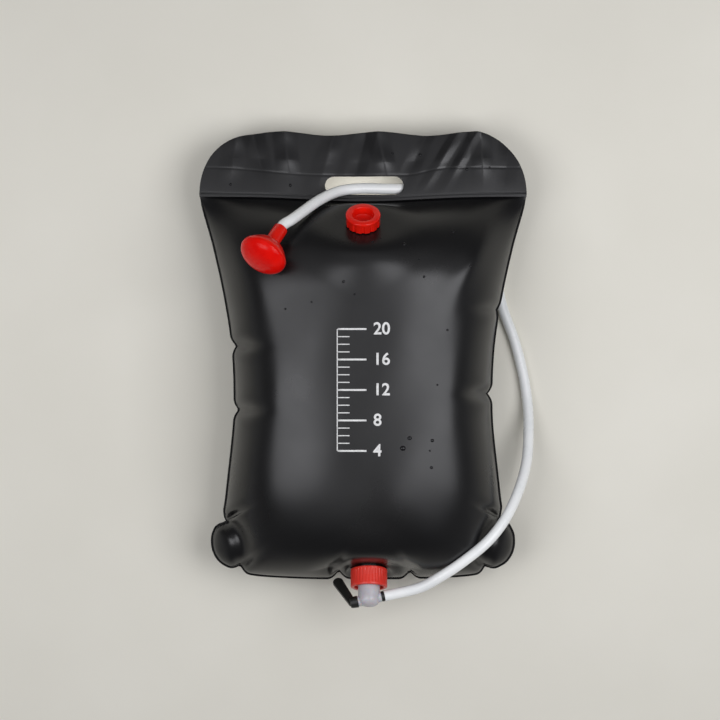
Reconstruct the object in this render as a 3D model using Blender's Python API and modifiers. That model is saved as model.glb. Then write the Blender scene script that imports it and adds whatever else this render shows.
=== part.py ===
"""Camp shower bag, full and lying on its back.

Two sheets of black film are welded into a pillow with a handle flap at the top. A screw cap closes the
filler neck, and a nut holds a lever tap on the outlet neck. A hose runs from the tap round behind the
bag, through the handle slot and into the shower rose. Metres, +Z up, +Y towards the handle flap.
"""

import math

import bmesh
import bpy
from mathutils import Matrix, Vector

# Driving dimensions of the bag
BAG_WIDTH = 0.400
BAG_LENGTH = 0.469
WELD_PLACE = 0.2105
HEADER_HEIGHT = 0.0738
SEAM_HEIGHT = 0.062
BELLY_RISE = 0.100
FILM = 0.0005
FIT_GAP = 0.0003
SEAM_WIDTH = 0.004
WELD_WIDTH = 0.006
WELD_DIP = 0.006
WELD_DIP_REACH = 0.090

# Puckers that the filling draws into the seam, and the flat ears at the four corners
PUCKER_DEPTH = 0.010
PUCKER_REACH = 0.014
PUCKER_FADE = 0.014
EAR_REACH = 0.060
FOOT_START = -0.050

# Handle flap
HEADER_CORNER = 0.0635
HEADER_DROOP = 0.012
WAVE_HEIGHT = 0.0020
WAVE_LENGTH = 0.105
SLOT_LENGTH = 0.096
SLOT_HEIGHT = 0.0225
SLOT_LIP = 0.0040
SLOT_OFFSET = 0.0015
STIFFENER_WIDTH = 0.330
STIFFENER_THICKNESS = 0.001
STIFFENER_HEIGHT = 0.036

# Water inside
WATER_CLEARANCE = 0.0100
WATER_INSET = 0.024

# Filler neck, seal and cap
FILLER_DROP = 0.0385
FILLER_LEAN = math.radians(48)
FILLER_BORE = 0.0150
FILLER_WALL = 0.0020
FILLER_NECK_HEIGHT = 0.0113
FLANGE_WIDTH = 0.0075
FLANGE_THICKNESS = 0.0012
PATCH_MARGIN = 0.018
SEAL_THICKNESS = 0.0010
CAP_RADIUS = 0.02075
CAP_HEIGHT = 0.0155
CAP_START = 0.0012
CAP_RECESS = 0.01285
CAP_FLOOR = 0.0015
CAP_FLOOR_PLACE = 0.0060
CAP_EDGE = 0.0008
CAP_FLUTES = 12
CAP_FLUTE_RADIUS = 0.0022

# Outlet neck, nut and tap
OUTLET_OFFSET = 0.0071
OUTLET_INSET = 0.0162
OUTLET_RISE = 0.026
OUTLET_TILT = math.radians(18)
OUTLET_BORE = 0.0130
OUTLET_WALL = 0.0040
OUTLET_NECK_HEIGHT = 0.0133
OUTLET_SEAL_THICKNESS = 0.0017
OUTLET_SEAL_BORE = 0.0080
NUT_RADIUS = 0.02215
NUT_START = 0.0020
NUT_END = 0.0245
NUT_RIM = 0.0040
NUT_RIM_WALL = 0.0043
NUT_EDGE = 0.0010
NUT_RIBS = 20
NUT_FLUTE_RADIUS = 0.0012
TAP_RADIUS = 0.0132
TAP_FLANGE = 0.0020
TAP_WATERWAY = 0.0050
TAP_CROSSING = 0.0390
TAP_END = 0.0481
TAP_DOME = 0.0105
TAP_TURN = math.radians(12)
SLIP_RING = 0.0010
BOSS_RADIUS = 0.0063
BOSS_REACH = 0.0152
PLUG_RADIUS = 0.0045
PLUG_REACH = 0.0100
PLUG_BORE = 0.0028
STUB_RADIUS = 0.0028
STUB_REACH = 0.0222
ORING_PLACE = 0.0117
ORING_WIDTH = 0.0018
ORING_DEPTH = 0.0009
HUB_RADIUS = 0.0055
HUB_REACH = 0.0232
HUB_EDGE = 0.0006
LEVER_PLACE = 0.0207
LEVER_LENGTH = 0.0420
LEVER_LEAN = math.radians(23)
LEVER_DROP = math.radians(28)
LEVER_THICKNESS = 0.0040
LEVER_ROOT = 0.0036
LEVER_TIP = 0.0050

# Hose and its fittings
HOSE_RADIUS = 0.0065
HOSE_BORE = 0.0045
COLLAR_LENGTH = 0.0035
SPIGOT_REACH = 0.0310
SPIGOT_RADIUS = 0.0038
SPIGOT_BORE = 0.0024
HOSE_POINTS = 52

# Shower rose
ROSE_PLACE = (-0.0973, 0.1651, 0.1560)
ROSE_HEADING = (-0.529, -0.849)
ROSE_LEAN = math.radians(58)
ROSE_RADIUS = 0.0290
ROSE_NECK_RADIUS = 0.00875
ROSE_NECK_LENGTH = 0.0240
ROSE_SOCKET = 0.0160
ROSE_RIM_PLACE = 0.0450
ROSE_WALL = 0.0018
ROSE_DOME = 0.0080
ROSE_WATERWAY = 0.0045
SPRAY_HOLE_RADIUS = 0.0008
SPRAY_RINGS = 2
SPRAY_RING_SPACING = 0.0085

# Shared drawing values
OVERRUN = 0.002
CAP_STEPS = 40
TURN_STEPS = 24
FINE_STEPS = 16
MERGE = 0.00001

# Right half of the seam: share of the half width, share of the length below the top weld
SEAM_SHARES = (
    (1.000, 0.000),
    (0.982, 0.038),
    (0.947, 0.090),
    (0.914, 0.142),
    (0.860, 0.246),
    (0.818, 0.350),
    (0.798, 0.434),
    (0.792, 0.520),
    (0.797, 0.601),
    (0.828, 0.726),
    (0.852, 0.810),
    (0.878, 0.837),
    (0.906, 0.862),
    (0.926, 0.882),
    (0.930, 0.903),
    (0.923, 0.924),
    (0.900, 0.945),
    (0.857, 0.963),
    (0.758, 0.981),
    (0.630, 0.993),
    (0.300, 1.000),
    (0.000, 1.000),
)
# Puckers: share of the half width, share of the length, share of the depth
PUCKER_SHARES = (
    (0.837, 0.298, 0.30),
    (0.792, 0.517, 0.60),
    (0.876, 0.834, 0.90),
    (0.758, 0.981, 0.75),
    (0.293, 1.000, 0.95),
    (-0.153, 1.000, 1.05),
    (-0.765, 0.981, 0.80),
    (-0.878, 0.841, 1.00),
    (-0.792, 0.559, 0.60),
    (-0.808, 0.392, 0.60),
)
PUCKER_STEP_SHARES = (-1.0, -0.35, 0.0, 0.35, 1.0)
# Corners whose ears lie flatter: share of the half width, share of the length
EAR_SHARES = ((1.0, 0.0), (0.90, 0.92))
EAR_DROP_SHARE = 0.57
EAR_BACK_SHARE = 0.90
EAR_SAMPLE_SHARE = 0.75
SPINE_SHARES = (0.247, 0.662)
SPINE_BEND_SHARE = 4.0
CROWN_POWER_SHARE = 2.6
SIDE_DROP_SHARE = 0.55
SIDE_POWER_SHARE = 2.4
FOOT_DROP_SHARE = 0.40
EDGE_POWER_SHARE = 7.0
EDGE_STEEPNESS_SHARE = 0.5
TOP_STEEPNESS_SHARE = 0.8
VALLEY_SHARE = 0.45
FOOTPRINT_SHARE = 0.50
BACK_POWER_SHARE = 2.2
FRONT_RING_SHARES = (1.0, 0.995, 0.95, 0.86, 0.72, 0.53, 0.30, 0.10)
BACK_RING_SHARES = (1.0, 0.96, 0.86, 0.70, 0.50)
WATER_RING_SHARES = (0.90, 0.72, 0.48, 0.20)
SEAM_SPACING_SHARE = 0.12
WATER_SPACING_SHARE = 0.16

parts = bpy.data.collections.new("camp_shower_bag")
cutters = bpy.data.collections.new("cutters")


def clear_scene():
    for old in list(bpy.data.objects):
        bpy.data.objects.remove(old)
    bpy.context.scene.collection.children.link(parts)
    bpy.context.scene.collection.children.link(cutters)


# Materials
def plastic(name, colour, roughness):
    material = bpy.data.materials.new(name)
    material.use_nodes = True
    shader = material.node_tree.nodes["Principled BSDF"]
    shader.inputs["Base Color"].default_value = (*colour, 1)
    shader.inputs["Roughness"].default_value = roughness
    shader.inputs["Metallic"].default_value = 0
    return material


def film_black(name):
    return plastic(name, (0.012, 0.012, 0.013), 0.38)


def cap_red(name):
    return plastic(name, (0.62, 0.012, 0.010), 0.30)


def tap_white(name):
    return plastic(name, (0.60, 0.60, 0.62), 0.35)


def lever_black(name):
    return plastic(name, (0.008, 0.008, 0.008), 0.45)


def hose_clear(name):
    return plastic(name, (0.66, 0.69, 0.69), 0.30)


def rubber_grey(name):
    return plastic(name, (0.05, 0.05, 0.05), 0.80)


def water_blue(name):
    return plastic(name, (0.25, 0.40, 0.48), 0.10)


# Objects and shapes
def place(name, mesh, paint, parent=None, collection=parts):
    made = bpy.data.objects.new(name, mesh)
    collection.objects.link(made)
    made.parent = parent
    made.data.materials.append(paint(name))
    return made


def hide_cutter(cutter):
    cutter.hide_render = True
    cutter.display_type = "WIRE"
    return cutter


def cut(target, cutter):
    modifier = target.modifiers.new("cut_" + cutter.name, "BOOLEAN")
    modifier.operation = "DIFFERENCE"
    modifier.object = hide_cutter(cutter)


def join(target, piece):
    modifier = target.modifiers.new("join_" + piece.name, "BOOLEAN")
    modifier.operation = "UNION"
    modifier.object = hide_cutter(piece)


def mesh_from(name, shape):
    mesh = bpy.data.meshes.new(name)
    shape.to_mesh(mesh)
    shape.free()
    return mesh


def turned(name, profile, paint, parent, steps=TURN_STEPS, closed=True, collection=parts):
    """A profile of (radius, height) points turned about local Z, run down its outer side."""
    shape = bmesh.new()
    points = [shape.verts.new((radius, 0, height)) for radius, height in profile]
    for first, second in zip(points, points[1:]):
        shape.edges.new((first, second))
    if closed:
        shape.edges.new((points[-1], points[0]))
    made = place(name, mesh_from(name, shape), paint, parent, collection)
    screw = made.modifiers.new("turn", "SCREW")
    screw.steps = steps
    screw.render_steps = steps
    screw.use_merge_vertices = True
    screw.merge_threshold = MERGE
    return made


def rod(name, radius, low, high, parent, sides=TURN_STEPS, offset=(0, 0), axis="Z"):
    """A plain round cutter along a local axis, from low to high."""
    shape = bmesh.new()
    bmesh.ops.create_cone(
        shape, cap_ends=True, segments=sides, radius1=radius, radius2=radius, depth=high - low
    )
    bmesh.ops.translate(shape, verts=shape.verts, vec=(0, 0, (high + low) / 2))
    if axis == "X":
        bmesh.ops.rotate(shape, verts=shape.verts, matrix=Matrix.Rotation(math.pi / 2, 3, "Y"))
    bmesh.ops.translate(shape, verts=shape.verts, vec=(*offset, 0))
    return place(name, mesh_from(name, shape), lever_black, parent, cutters)


def flutes(name, count, ring_radius, radius, low, high, sides, parent):
    """A ring of round cutters, joined into one object."""
    shape = bmesh.new()
    for index in range(count):
        angle = 2 * math.pi * index / count
        made = bmesh.ops.create_cone(
            shape, cap_ends=True, segments=sides, radius1=radius, radius2=radius, depth=high - low
        )
        centre = (ring_radius * math.cos(angle), ring_radius * math.sin(angle), (high + low) / 2)
        bmesh.ops.translate(shape, verts=made["verts"], vec=centre)
    return place(name, mesh_from(name, shape), lever_black, parent, cutters)


def axis_empty(name, origin, along, sideways):
    """An empty at origin whose local Z is along and whose local X lies towards sideways."""
    z = Vector(along).normalized()
    x = Vector(sideways)
    x = (x - z * x.dot(z)).normalized()
    y = z.cross(x)
    empty = bpy.data.objects.new(name, None)
    parts.objects.link(empty)
    turn = Matrix((x, y, z)).transposed().to_4x4()
    empty.matrix_world = Matrix.Translation(origin) @ turn
    return empty


def smooth_curve(points, steps):
    """Points read from a smooth curve through the given ones, steps to each stretch."""
    ends = [points[0] * 2 - points[1], *points, points[-1] * 2 - points[-2]]
    found = []
    for a, b, c, d in zip(ends, ends[1:], ends[2:], ends[3:]):
        for step in range(steps):
            t = step / steps
            found.append(
                (b * 2 + (c - a) * t + (a * 2 - b * 5 + c * 4 - d) * t**2 + (b * 3 - a - c * 3 + d) * t**3)
                / 2
            )
    found.append(points[-1].copy())
    return found


def evenly(points, count):
    """The same line with count points at even spacing."""
    runs = [0.0]
    for first, second in zip(points, points[1:]):
        runs.append(runs[-1] + (second - first).length)
    found = []
    place_on = 0
    for index in range(count):
        target = runs[-1] * index / (count - 1)
        while place_on < len(runs) - 2 and runs[place_on + 1] < target:
            place_on += 1
        share = (target - runs[place_on]) / (runs[place_on + 1] - runs[place_on])
        found.append(points[place_on].lerp(points[place_on + 1], min(share, 1.0)))
    return found


# The seam's outline, seen from above
def weld_line(x):
    """Where the top weld runs: it dips below the handle slot."""
    return WELD_PLACE - WELD_DIP * math.exp(-((x / WELD_DIP_REACH) ** 2))


def smooth_seam():
    """The seam without its puckers: down the left side, along the foot and up the right side."""
    right = []
    for across, down in SEAM_SHARES:
        right.append(Vector((across * BAG_WIDTH / 2, WELD_PLACE - down * BAG_LENGTH, 0)))
    left = [Vector((-point.x, point.y, 0)) for point in right[:-1]]
    return smooth_curve(left + right[::-1], 12)


def runs_along(line):
    runs = [0.0]
    for first, second in zip(line, line[1:]):
        runs.append(runs[-1] + (second - first).length)
    return runs


def point_at(line, runs, run):
    """The point and the outward direction of a line at a run along it."""
    index = 0
    while index < len(runs) - 2 and runs[index + 1] < run:
        index += 1
    share = (run - runs[index]) / (runs[index + 1] - runs[index])
    along = (line[index + 1] - line[index]).normalized()
    return line[index].lerp(line[index + 1], share), Vector((along.y, -along.x, 0))


def pucker_runs(line, runs):
    found = []
    for across, down, depth_share in PUCKER_SHARES:
        target = Vector((across * BAG_WIDTH / 2, WELD_PLACE - down * BAG_LENGTH, 0))
        nearest = min(range(len(line)), key=lambda index: (line[index] - target).length)
        found.append((runs[nearest], depth_share))
    return found


def seam_samples(line, runs, puckers, spacing):
    """Runs along the seam to model: close at each pucker and round the ears, wider between them."""
    fine = []
    for run, depth_share in puckers:
        for step_share in PUCKER_STEP_SHARES:
            fine.append(run + step_share * PUCKER_REACH)
    even = 4 * round(runs[-1] / spacing)
    coarse = []
    for index in range(even + 1):
        run = runs[-1] * index / even
        step = 1 if ear_at(point_at(line, runs, run)[0]) > EAR_SAMPLE_SHARE else 4
        clear = spacing * step / 9
        if index % step == 0 and all(abs(run - other) > clear for other in fine):
            coarse.append(run)
    return sorted(fine + coarse)


def ear_at(point):
    """How far a place on the seam belongs to one of the ears, from 0 to 1."""
    found = 0.0
    for across, down in EAR_SHARES:
        corner = Vector((across * BAG_WIDTH / 2, WELD_PLACE - down * BAG_LENGTH, 0))
        apart = math.hypot(abs(point.x) - corner.x, point.y - corner.y)
        found = max(found, math.exp(-((apart / EAR_REACH) ** 2)))
    return found


def spine_top():
    return WELD_PLACE - SPINE_SHARES[0] * BAG_LENGTH


def spine_foot():
    return WELD_PLACE - SPINE_SHARES[1] * BAG_LENGTH


def within(share):
    return min(max(share, 0.0), 1.0)


class Sector:
    """One direction of the bag: its seam point, and the line in from it to the spine."""

    def __init__(self, outer, inner, valley):
        self.outer = outer
        self.inner = inner
        self.valley = valley
        middle = (spine_top() + spine_foot()) / 2
        half = (spine_top() - spine_foot()) / 2
        reach_share = (inner.y - middle) / half
        bend_share = (1 + abs(reach_share) ** SPINE_BEND_SHARE) ** (1 / SPINE_BEND_SHARE)
        self.spine = Vector((0, middle + half * reach_share / bend_share, 0))
        self.length = (inner - self.spine).length
        self.top_share = max(0.0, (inner - self.spine).normalized().y) ** 2
        self.ear = ear_at(outer)

    def plan(self, share):
        return self.spine.lerp(self.inner, share)


def bag_sectors(spacing, puckered=True):
    """Sectors all the way round, anticlockwise seen from above, from the right end of the top weld."""
    line = smooth_seam()
    runs = runs_along(line)
    puckers = pucker_runs(line, runs) if puckered else []
    sectors = []
    across_steps = round(BAG_WIDTH / spacing)
    for index in range(1, across_steps):
        x = BAG_WIDTH / 2 - BAG_WIDTH * index / across_steps
        middle = weld_line(x)
        outer = Vector((x, middle + WELD_WIDTH / 2, 0))
        inner = Vector((x * (1 - 2 * SEAM_WIDTH / BAG_WIDTH), middle - WELD_WIDTH / 2, 0))
        sectors.append(Sector(outer, inner, 0.0))
    for run in seam_samples(line, runs, puckers, spacing):
        point, outward = point_at(line, runs, run)
        dip = 0.0
        valley = 0.0
        for pucker_run, depth_share in puckers:
            apart_share = abs(run - pucker_run) / PUCKER_REACH
            dip += depth_share * PUCKER_DEPTH * max(0.0, 1 - apart_share) ** 2
            valley += depth_share * math.exp(-(apart_share**2))
        outer = point - outward * dip
        inner = outer - outward * SEAM_WIDTH
        if run < SEAM_WIDTH or run > runs[-1] - SEAM_WIDTH:
            outer.y += WELD_WIDTH / 2
            inner = outer - Vector((math.copysign(SEAM_WIDTH, outer.x), WELD_WIDTH, 0))
        sectors.append(Sector(outer, inner, min(valley, 1.0)))
    return sectors


def crown(point):
    """How full the front is at a place: it falls off to the sides, and more at the weld and the foot."""
    across_share = abs(point.x) / (BAG_WIDTH / 2)
    side_share = 1 - SIDE_DROP_SHARE * across_share**SIDE_POWER_SHARE
    weld = weld_line(point.x) - WELD_WIDTH / 2
    top_run = within((point.y - spine_top()) / (weld - spine_top()))
    top_share = (1 - top_run**CROWN_POWER_SHARE) ** TOP_STEEPNESS_SHARE
    foot_run = within((FOOT_START - point.y) / (FOOT_START - WELD_PLACE + BAG_LENGTH))
    foot_share = 1 - FOOT_DROP_SHARE * foot_run**CROWN_POWER_SHARE
    return side_share * top_share * foot_share


def front_height(sector, share):
    edge_share = (1 - share**EDGE_POWER_SHARE) ** (EDGE_STEEPNESS_SHARE * (1 - sector.top_share))
    full_share = 0.0 if share == 1.0 else crown(sector.plan(share)) * edge_share
    full_share *= 1 - EAR_DROP_SHARE * ear_at(sector.plan(share))
    full_share *= 1 - VALLEY_SHARE * sector.valley * math.exp(-(1 - share) * sector.length / PUCKER_FADE)
    return SEAM_HEIGHT + FIT_GAP / 2 + FILM + BELLY_RISE * full_share


def back_height(sector, share):
    rest_share = max(0.0, share - FOOTPRINT_SHARE) / (1 - FOOTPRINT_SHARE)
    power = BACK_POWER_SHARE - EAR_BACK_SHARE * sector.ear
    drop = max(0.0, 1 - rest_share**power) ** (1 / power)
    return (SEAM_HEIGHT - FIT_GAP / 2 - FILM) * (1 - drop)


# Where the two necks stand on the front panel
def filler_axis():
    """Origin on the skin of the front panel, and the direction the neck points."""
    along = Vector((0, math.sin(FILLER_LEAN), math.cos(FILLER_LEAN)))
    top = Vector((0, weld_line(0) - WELD_WIDTH / 2, 0))
    sector = Sector(top, top, 0.0)
    y = WELD_PLACE - FILLER_DROP
    share = (y - sector.spine.y) / (top.y - sector.spine.y)
    return Vector((0, y, front_height(sector, share))), along


def outlet_axis():
    along = Vector((0, -math.cos(OUTLET_TILT), math.sin(OUTLET_TILT)))
    y = WELD_PLACE - BAG_LENGTH + OUTLET_INSET
    return Vector((OUTLET_OFFSET, y, SEAM_HEIGHT + OUTLET_RISE)), along


def flattened(point, origin, along, radius):
    """The film lies flat against a neck's flange and eases back to its own curve around it."""
    apart = point - origin
    height = apart.dot(along)
    reach = (apart - along * height).length
    share = min(1.0, max(0.0, (2 * radius - reach) / radius))
    share = share * share * (3 - 2 * share)
    return point - along * height * share


def filler_flange_radius():
    return FILLER_BORE + FILLER_WALL + FLANGE_WIDTH


def outlet_flange_radius():
    return OUTLET_BORE + OUTLET_WALL + FLANGE_WIDTH


def front_point(sector, share, sink=0.0):
    point = sector.plan(share)
    point.z = front_height(sector, share) - sink
    if share == 1.0:
        return point
    origin, along = filler_axis()
    point = flattened(point, origin - along * sink, along, filler_flange_radius() + PATCH_MARGIN)
    origin, along = outlet_axis()
    return flattened(point, origin - along * sink, along, outlet_flange_radius() + PATCH_MARGIN)


def back_point(sector, share, lift=0.0):
    point = sector.plan(share)
    point.z = back_height(sector, share) + lift
    return point


def loft(loops, faces_up, cap_first=False):
    """Rings of points joined by quads, with the last ring filled, and the first if asked."""
    shape = bmesh.new()
    rings = [[shape.verts.new(point) for point in loop] for loop in loops]
    for outer, inner in zip(rings, rings[1:]):
        for index in range(len(outer)):
            after = (index + 1) % len(outer)
            corners = [outer[index], outer[after], inner[after], inner[index]]
            shape.faces.new(corners if faces_up else corners[::-1])
    shape.faces.new(rings[-1] if faces_up else rings[-1][::-1])
    if cap_first:
        shape.faces.new(rings[0][::-1] if faces_up else rings[0])
    return shape


def solidify(made, thickness, offset=-1.0):
    modifier = made.modifiers.new("thickness", "SOLIDIFY")
    modifier.thickness = thickness
    modifier.offset = offset
    return made


# Bag panels
def front_panel():
    sectors = bag_sectors(SEAM_SPACING_SHARE * BAG_WIDTH)
    edge = [sector.outer + Vector((0, 0, front_height(sector, 1.0))) for sector in sectors]
    loops = [edge]
    for share in FRONT_RING_SHARES:
        loops.append([front_point(sector, share) for sector in sectors])
    panel = place("front_panel", mesh_from("front_panel", loft(loops, True)), film_black)
    return solidify(panel, FILM)


def back_panel():
    sectors = bag_sectors(SEAM_SPACING_SHARE * BAG_WIDTH)
    edge = [sector.outer + Vector((0, 0, back_height(sector, 1.0))) for sector in sectors]
    loops = [edge]
    for share in BACK_RING_SHARES:
        loops.append([back_point(sector, share) for sector in sectors])
    panel = place("back_panel", mesh_from("back_panel", loft(loops, False)), film_black)
    return solidify(panel, FILM)


def water_fill():
    sectors = bag_sectors(WATER_SPACING_SHARE * BAG_WIDTH, puckered=False)
    loops = []
    for share in WATER_RING_SHARES[::-1]:
        lift = FILM + FIT_GAP if share <= FOOTPRINT_SHARE else WATER_CLEARANCE
        loops.append([back_point(sector, share, lift) for sector in sectors])
    for share in WATER_RING_SHARES:
        loops.append([front_point(sector, share, WATER_CLEARANCE) for sector in sectors])
    for loop, share in zip(loops, WATER_RING_SHARES[::-1] + WATER_RING_SHARES):
        for point, sector in zip(loop, sectors):
            point -= (sector.inner - sector.spine).normalized() * WATER_INSET * share
    return place("water_fill", mesh_from("water_fill", loft(loops, True, cap_first=True)), water_blue)


# Handle flap
def header_top(x):
    """The flap's upper edge: nearly straight and a little wavy, with large round corners."""
    straight = BAG_WIDTH / 2 - HEADER_CORNER
    into_share = max(0.0, abs(x) - straight) / HEADER_CORNER
    rise = HEADER_HEIGHT * math.sqrt(max(0.0, 1 - into_share**2))
    wave = WAVE_HEIGHT * math.cos(2 * math.pi * x / WAVE_LENGTH) * (1 - into_share)
    return WELD_PLACE + WELD_WIDTH / 2 + rise + wave


def header_middle(x, y):
    """Height of the flap's middle surface: level at the weld, sagging towards its free edge."""
    out_share = max(0.0, y - weld_line(x) - WELD_WIDTH / 2) / HEADER_HEIGHT
    ripple = WAVE_HEIGHT * math.sin(2 * math.pi * x / WAVE_LENGTH) * out_share
    return SEAM_HEIGHT - HEADER_DROOP * out_share**1.5 + ripple


def flap_grid(across, upward, span, low_edge, high_edge, lift):
    """A grid over the flap between two edges, at a height above its middle surface."""
    shape = bmesh.new()
    bmesh.ops.create_grid(shape, x_segments=across, y_segments=upward, size=1)
    for point in shape.verts:
        x = span / 2 * math.sin(point.co.x * math.pi / 2)
        share = (point.co.y + 1) / 2
        y = low_edge(x) + (high_edge(x) - low_edge(x)) * share
        point.co = Vector((x, y, header_middle(x, y) + lift))
    return shape


def slot_cutter():
    """A long round-ended cutter through the whole flap."""
    shape = bmesh.new()
    bmesh.ops.create_cone(
        shape,
        cap_ends=True,
        segments=TURN_STEPS,
        radius1=SLOT_HEIGHT / 2,
        radius2=SLOT_HEIGHT / 2,
        depth=SEAM_HEIGHT,
    )
    for point in shape.verts:
        point.co.x += math.copysign((SLOT_LENGTH - SLOT_HEIGHT) / 2, point.co.x)
    made = place("slot_cutter", mesh_from("slot_cutter", shape), lever_black, None, cutters)
    low = weld_line(0) + WELD_WIDTH / 2 + SLOT_LIP
    made.location = (SLOT_OFFSET, low + SLOT_HEIGHT / 2, SEAM_HEIGHT)
    return made


def header_low(x):
    return weld_line(x) - WELD_WIDTH / 2 + 3 * FILM


def header_sheet(name, lift, slot):
    sheet = flap_grid(22, 6, BAG_WIDTH, header_low, header_top, lift)
    made = place(name, mesh_from(name, sheet), film_black)
    solidify(made, FILM, 0.0)
    cut(made, slot)
    return made


def handle_stiffener(slot):
    def low(x):
        return weld_line(x) + WELD_WIDTH / 2 + 3 * FILM

    def high(x):
        return low(x) + STIFFENER_HEIGHT

    strip = flap_grid(14, 2, STIFFENER_WIDTH, low, high, 0.0)
    made = place("handle_stiffener", mesh_from("handle_stiffener", strip), lever_black)
    solidify(made, STIFFENER_THICKNESS, 0.0)
    cut(made, slot)
    return made


def handle_flap():
    slot = slot_cutter()
    lift = FIT_GAP / 2 + FILM + FIT_GAP + FILM / 2
    header_sheet("header_front", lift, slot)
    header_sheet("header_back", -lift, slot)
    handle_stiffener(slot)


# Filler
def neck_profile(bore, wall, height):
    """A neck with its weld flange, which lies under the film."""
    flange_top = -FILM - FIT_GAP
    return [
        (bore + wall, height),
        (bore + wall, flange_top),
        (bore + wall + FLANGE_WIDTH, flange_top),
        (bore + wall + FLANGE_WIDTH, flange_top - FLANGE_THICKNESS),
        (bore, flange_top - FLANGE_THICKNESS),
        (bore, height),
    ]


def ring_profile(outer, inner, low, high):
    return [(outer, high), (outer, low), (inner, low), (inner, high)]


def filler(panel):
    origin, along = filler_axis()
    axis = axis_empty("filler_axis", origin, along, (1, 0, 0))
    outer = FILLER_BORE + FILLER_WALL
    cut(panel, rod("filler_hole", outer + FIT_GAP, -OVERRUN, OVERRUN, axis))
    turned("filler_neck", neck_profile(FILLER_BORE, FILLER_WALL, FILLER_NECK_HEIGHT), lever_black, axis)
    seal_low = FILLER_NECK_HEIGHT + FIT_GAP
    seal_high = seal_low + SEAL_THICKNESS
    turned("filler_seal", ring_profile(outer, FILLER_BORE, seal_low, seal_high), rubber_grey, axis)
    filler_cap(axis, outer, seal_high + FIT_GAP)


def filler_cap(axis, neck_radius, groove_top):
    """A cap whose skirt goes outside the neck and whose recessed cup goes inside it."""
    skirt = neck_radius + FIT_GAP
    cup = FILLER_BORE - FIT_GAP
    edge = CAP_EDGE
    profile = [
        (0, CAP_FLOOR_PLACE + CAP_FLOOR),
        (CAP_RECESS, CAP_FLOOR_PLACE + CAP_FLOOR),
        (CAP_RECESS, CAP_HEIGHT - edge),
        (CAP_RECESS + edge, CAP_HEIGHT),
        (CAP_RADIUS - 2 * edge, CAP_HEIGHT),
        (CAP_RADIUS - edge / 2, CAP_HEIGHT - edge / 2),
        (CAP_RADIUS, CAP_HEIGHT - 2 * edge),
        (CAP_RADIUS, CAP_START),
        (skirt, CAP_START),
        (skirt, groove_top),
        (cup, groove_top),
        (cup, CAP_FLOOR_PLACE),
        (0, CAP_FLOOR_PLACE),
    ]
    cap = turned("filler_cap", profile, cap_red, axis, CAP_STEPS, closed=False)
    low = CAP_START - OVERRUN
    high = CAP_HEIGHT - 3 * edge
    ring = CAP_RADIUS + CAP_FLUTE_RADIUS / 2
    cut(cap, flutes("cap_flutes", CAP_FLUTES, ring, CAP_FLUTE_RADIUS, low, high, 8, axis))


# Outlet, nut and tap
def outlet(panel):
    origin, along = outlet_axis()
    axis = axis_empty("outlet_axis", origin, along, (1, 0, 0))
    outer = OUTLET_BORE + OUTLET_WALL
    cut(panel, rod("outlet_hole", outer + FIT_GAP, -OVERRUN, OVERRUN, axis))
    turned("outlet_neck", neck_profile(OUTLET_BORE, OUTLET_WALL, OUTLET_NECK_HEIGHT), lever_black, axis)
    seal_low = OUTLET_NECK_HEIGHT + FIT_GAP
    seal_high = seal_low + OUTLET_SEAL_THICKNESS
    flange_radius = outer - FIT_GAP
    turned(
        "outlet_seal",
        ring_profile(flange_radius, OUTLET_SEAL_BORE, seal_low, seal_high),
        rubber_grey,
        axis,
    )
    flange_low = seal_high + FIT_GAP
    flange_high = flange_low + TAP_FLANGE
    slip_low = flange_high + FIT_GAP
    slip_high = slip_low + SLIP_RING
    turned(
        "nut_slip_ring",
        ring_profile(flange_radius, TAP_RADIUS + FIT_GAP, slip_low, slip_high),
        tap_white,
        axis,
    )
    outlet_nut(axis, outer + FIT_GAP, slip_high + FIT_GAP)
    cross = axis_empty(
        "tap_axis",
        origin + along * TAP_CROSSING,
        Vector((math.cos(TAP_TURN), 0, 0)) - along * math.sin(TAP_TURN),
        -along,
    )
    tap_body(axis, cross, flange_radius, flange_low, flange_high)
    tap_spindle(cross)
    tap_lever(cross)
    turned(
        "hose_collar",
        ring_profile(BOSS_RADIUS, HOSE_BORE, BOSS_REACH + FIT_GAP, BOSS_REACH + FIT_GAP + COLLAR_LENGTH),
        lever_black,
        cross,
        FINE_STEPS,
    )
    return cross


def outlet_nut(axis, bore, lip_low):
    edge = NUT_EDGE
    rim_bore = NUT_RADIUS - NUT_RIM_WALL
    lip_bore = TAP_RADIUS + 2 * FIT_GAP
    profile = [
        (rim_bore, NUT_END),
        (NUT_RADIUS - edge, NUT_END),
        (NUT_RADIUS, NUT_END - edge),
        (NUT_RADIUS, NUT_START + edge),
        (NUT_RADIUS - edge, NUT_START),
        (bore, NUT_START),
        (bore, lip_low),
        (lip_bore, lip_low),
        (lip_bore, NUT_END - NUT_RIM),
        (rim_bore, NUT_END - NUT_RIM),
    ]
    nut = turned("outlet_nut", profile, cap_red, axis, CAP_STEPS)
    low = NUT_START - OVERRUN
    high = NUT_END - 2 * edge
    ring = NUT_RADIUS + NUT_FLUTE_RADIUS / 3
    cut(nut, flutes("nut_flutes", NUT_RIBS, ring, NUT_FLUTE_RADIUS, low, high, 6, axis))


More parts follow.
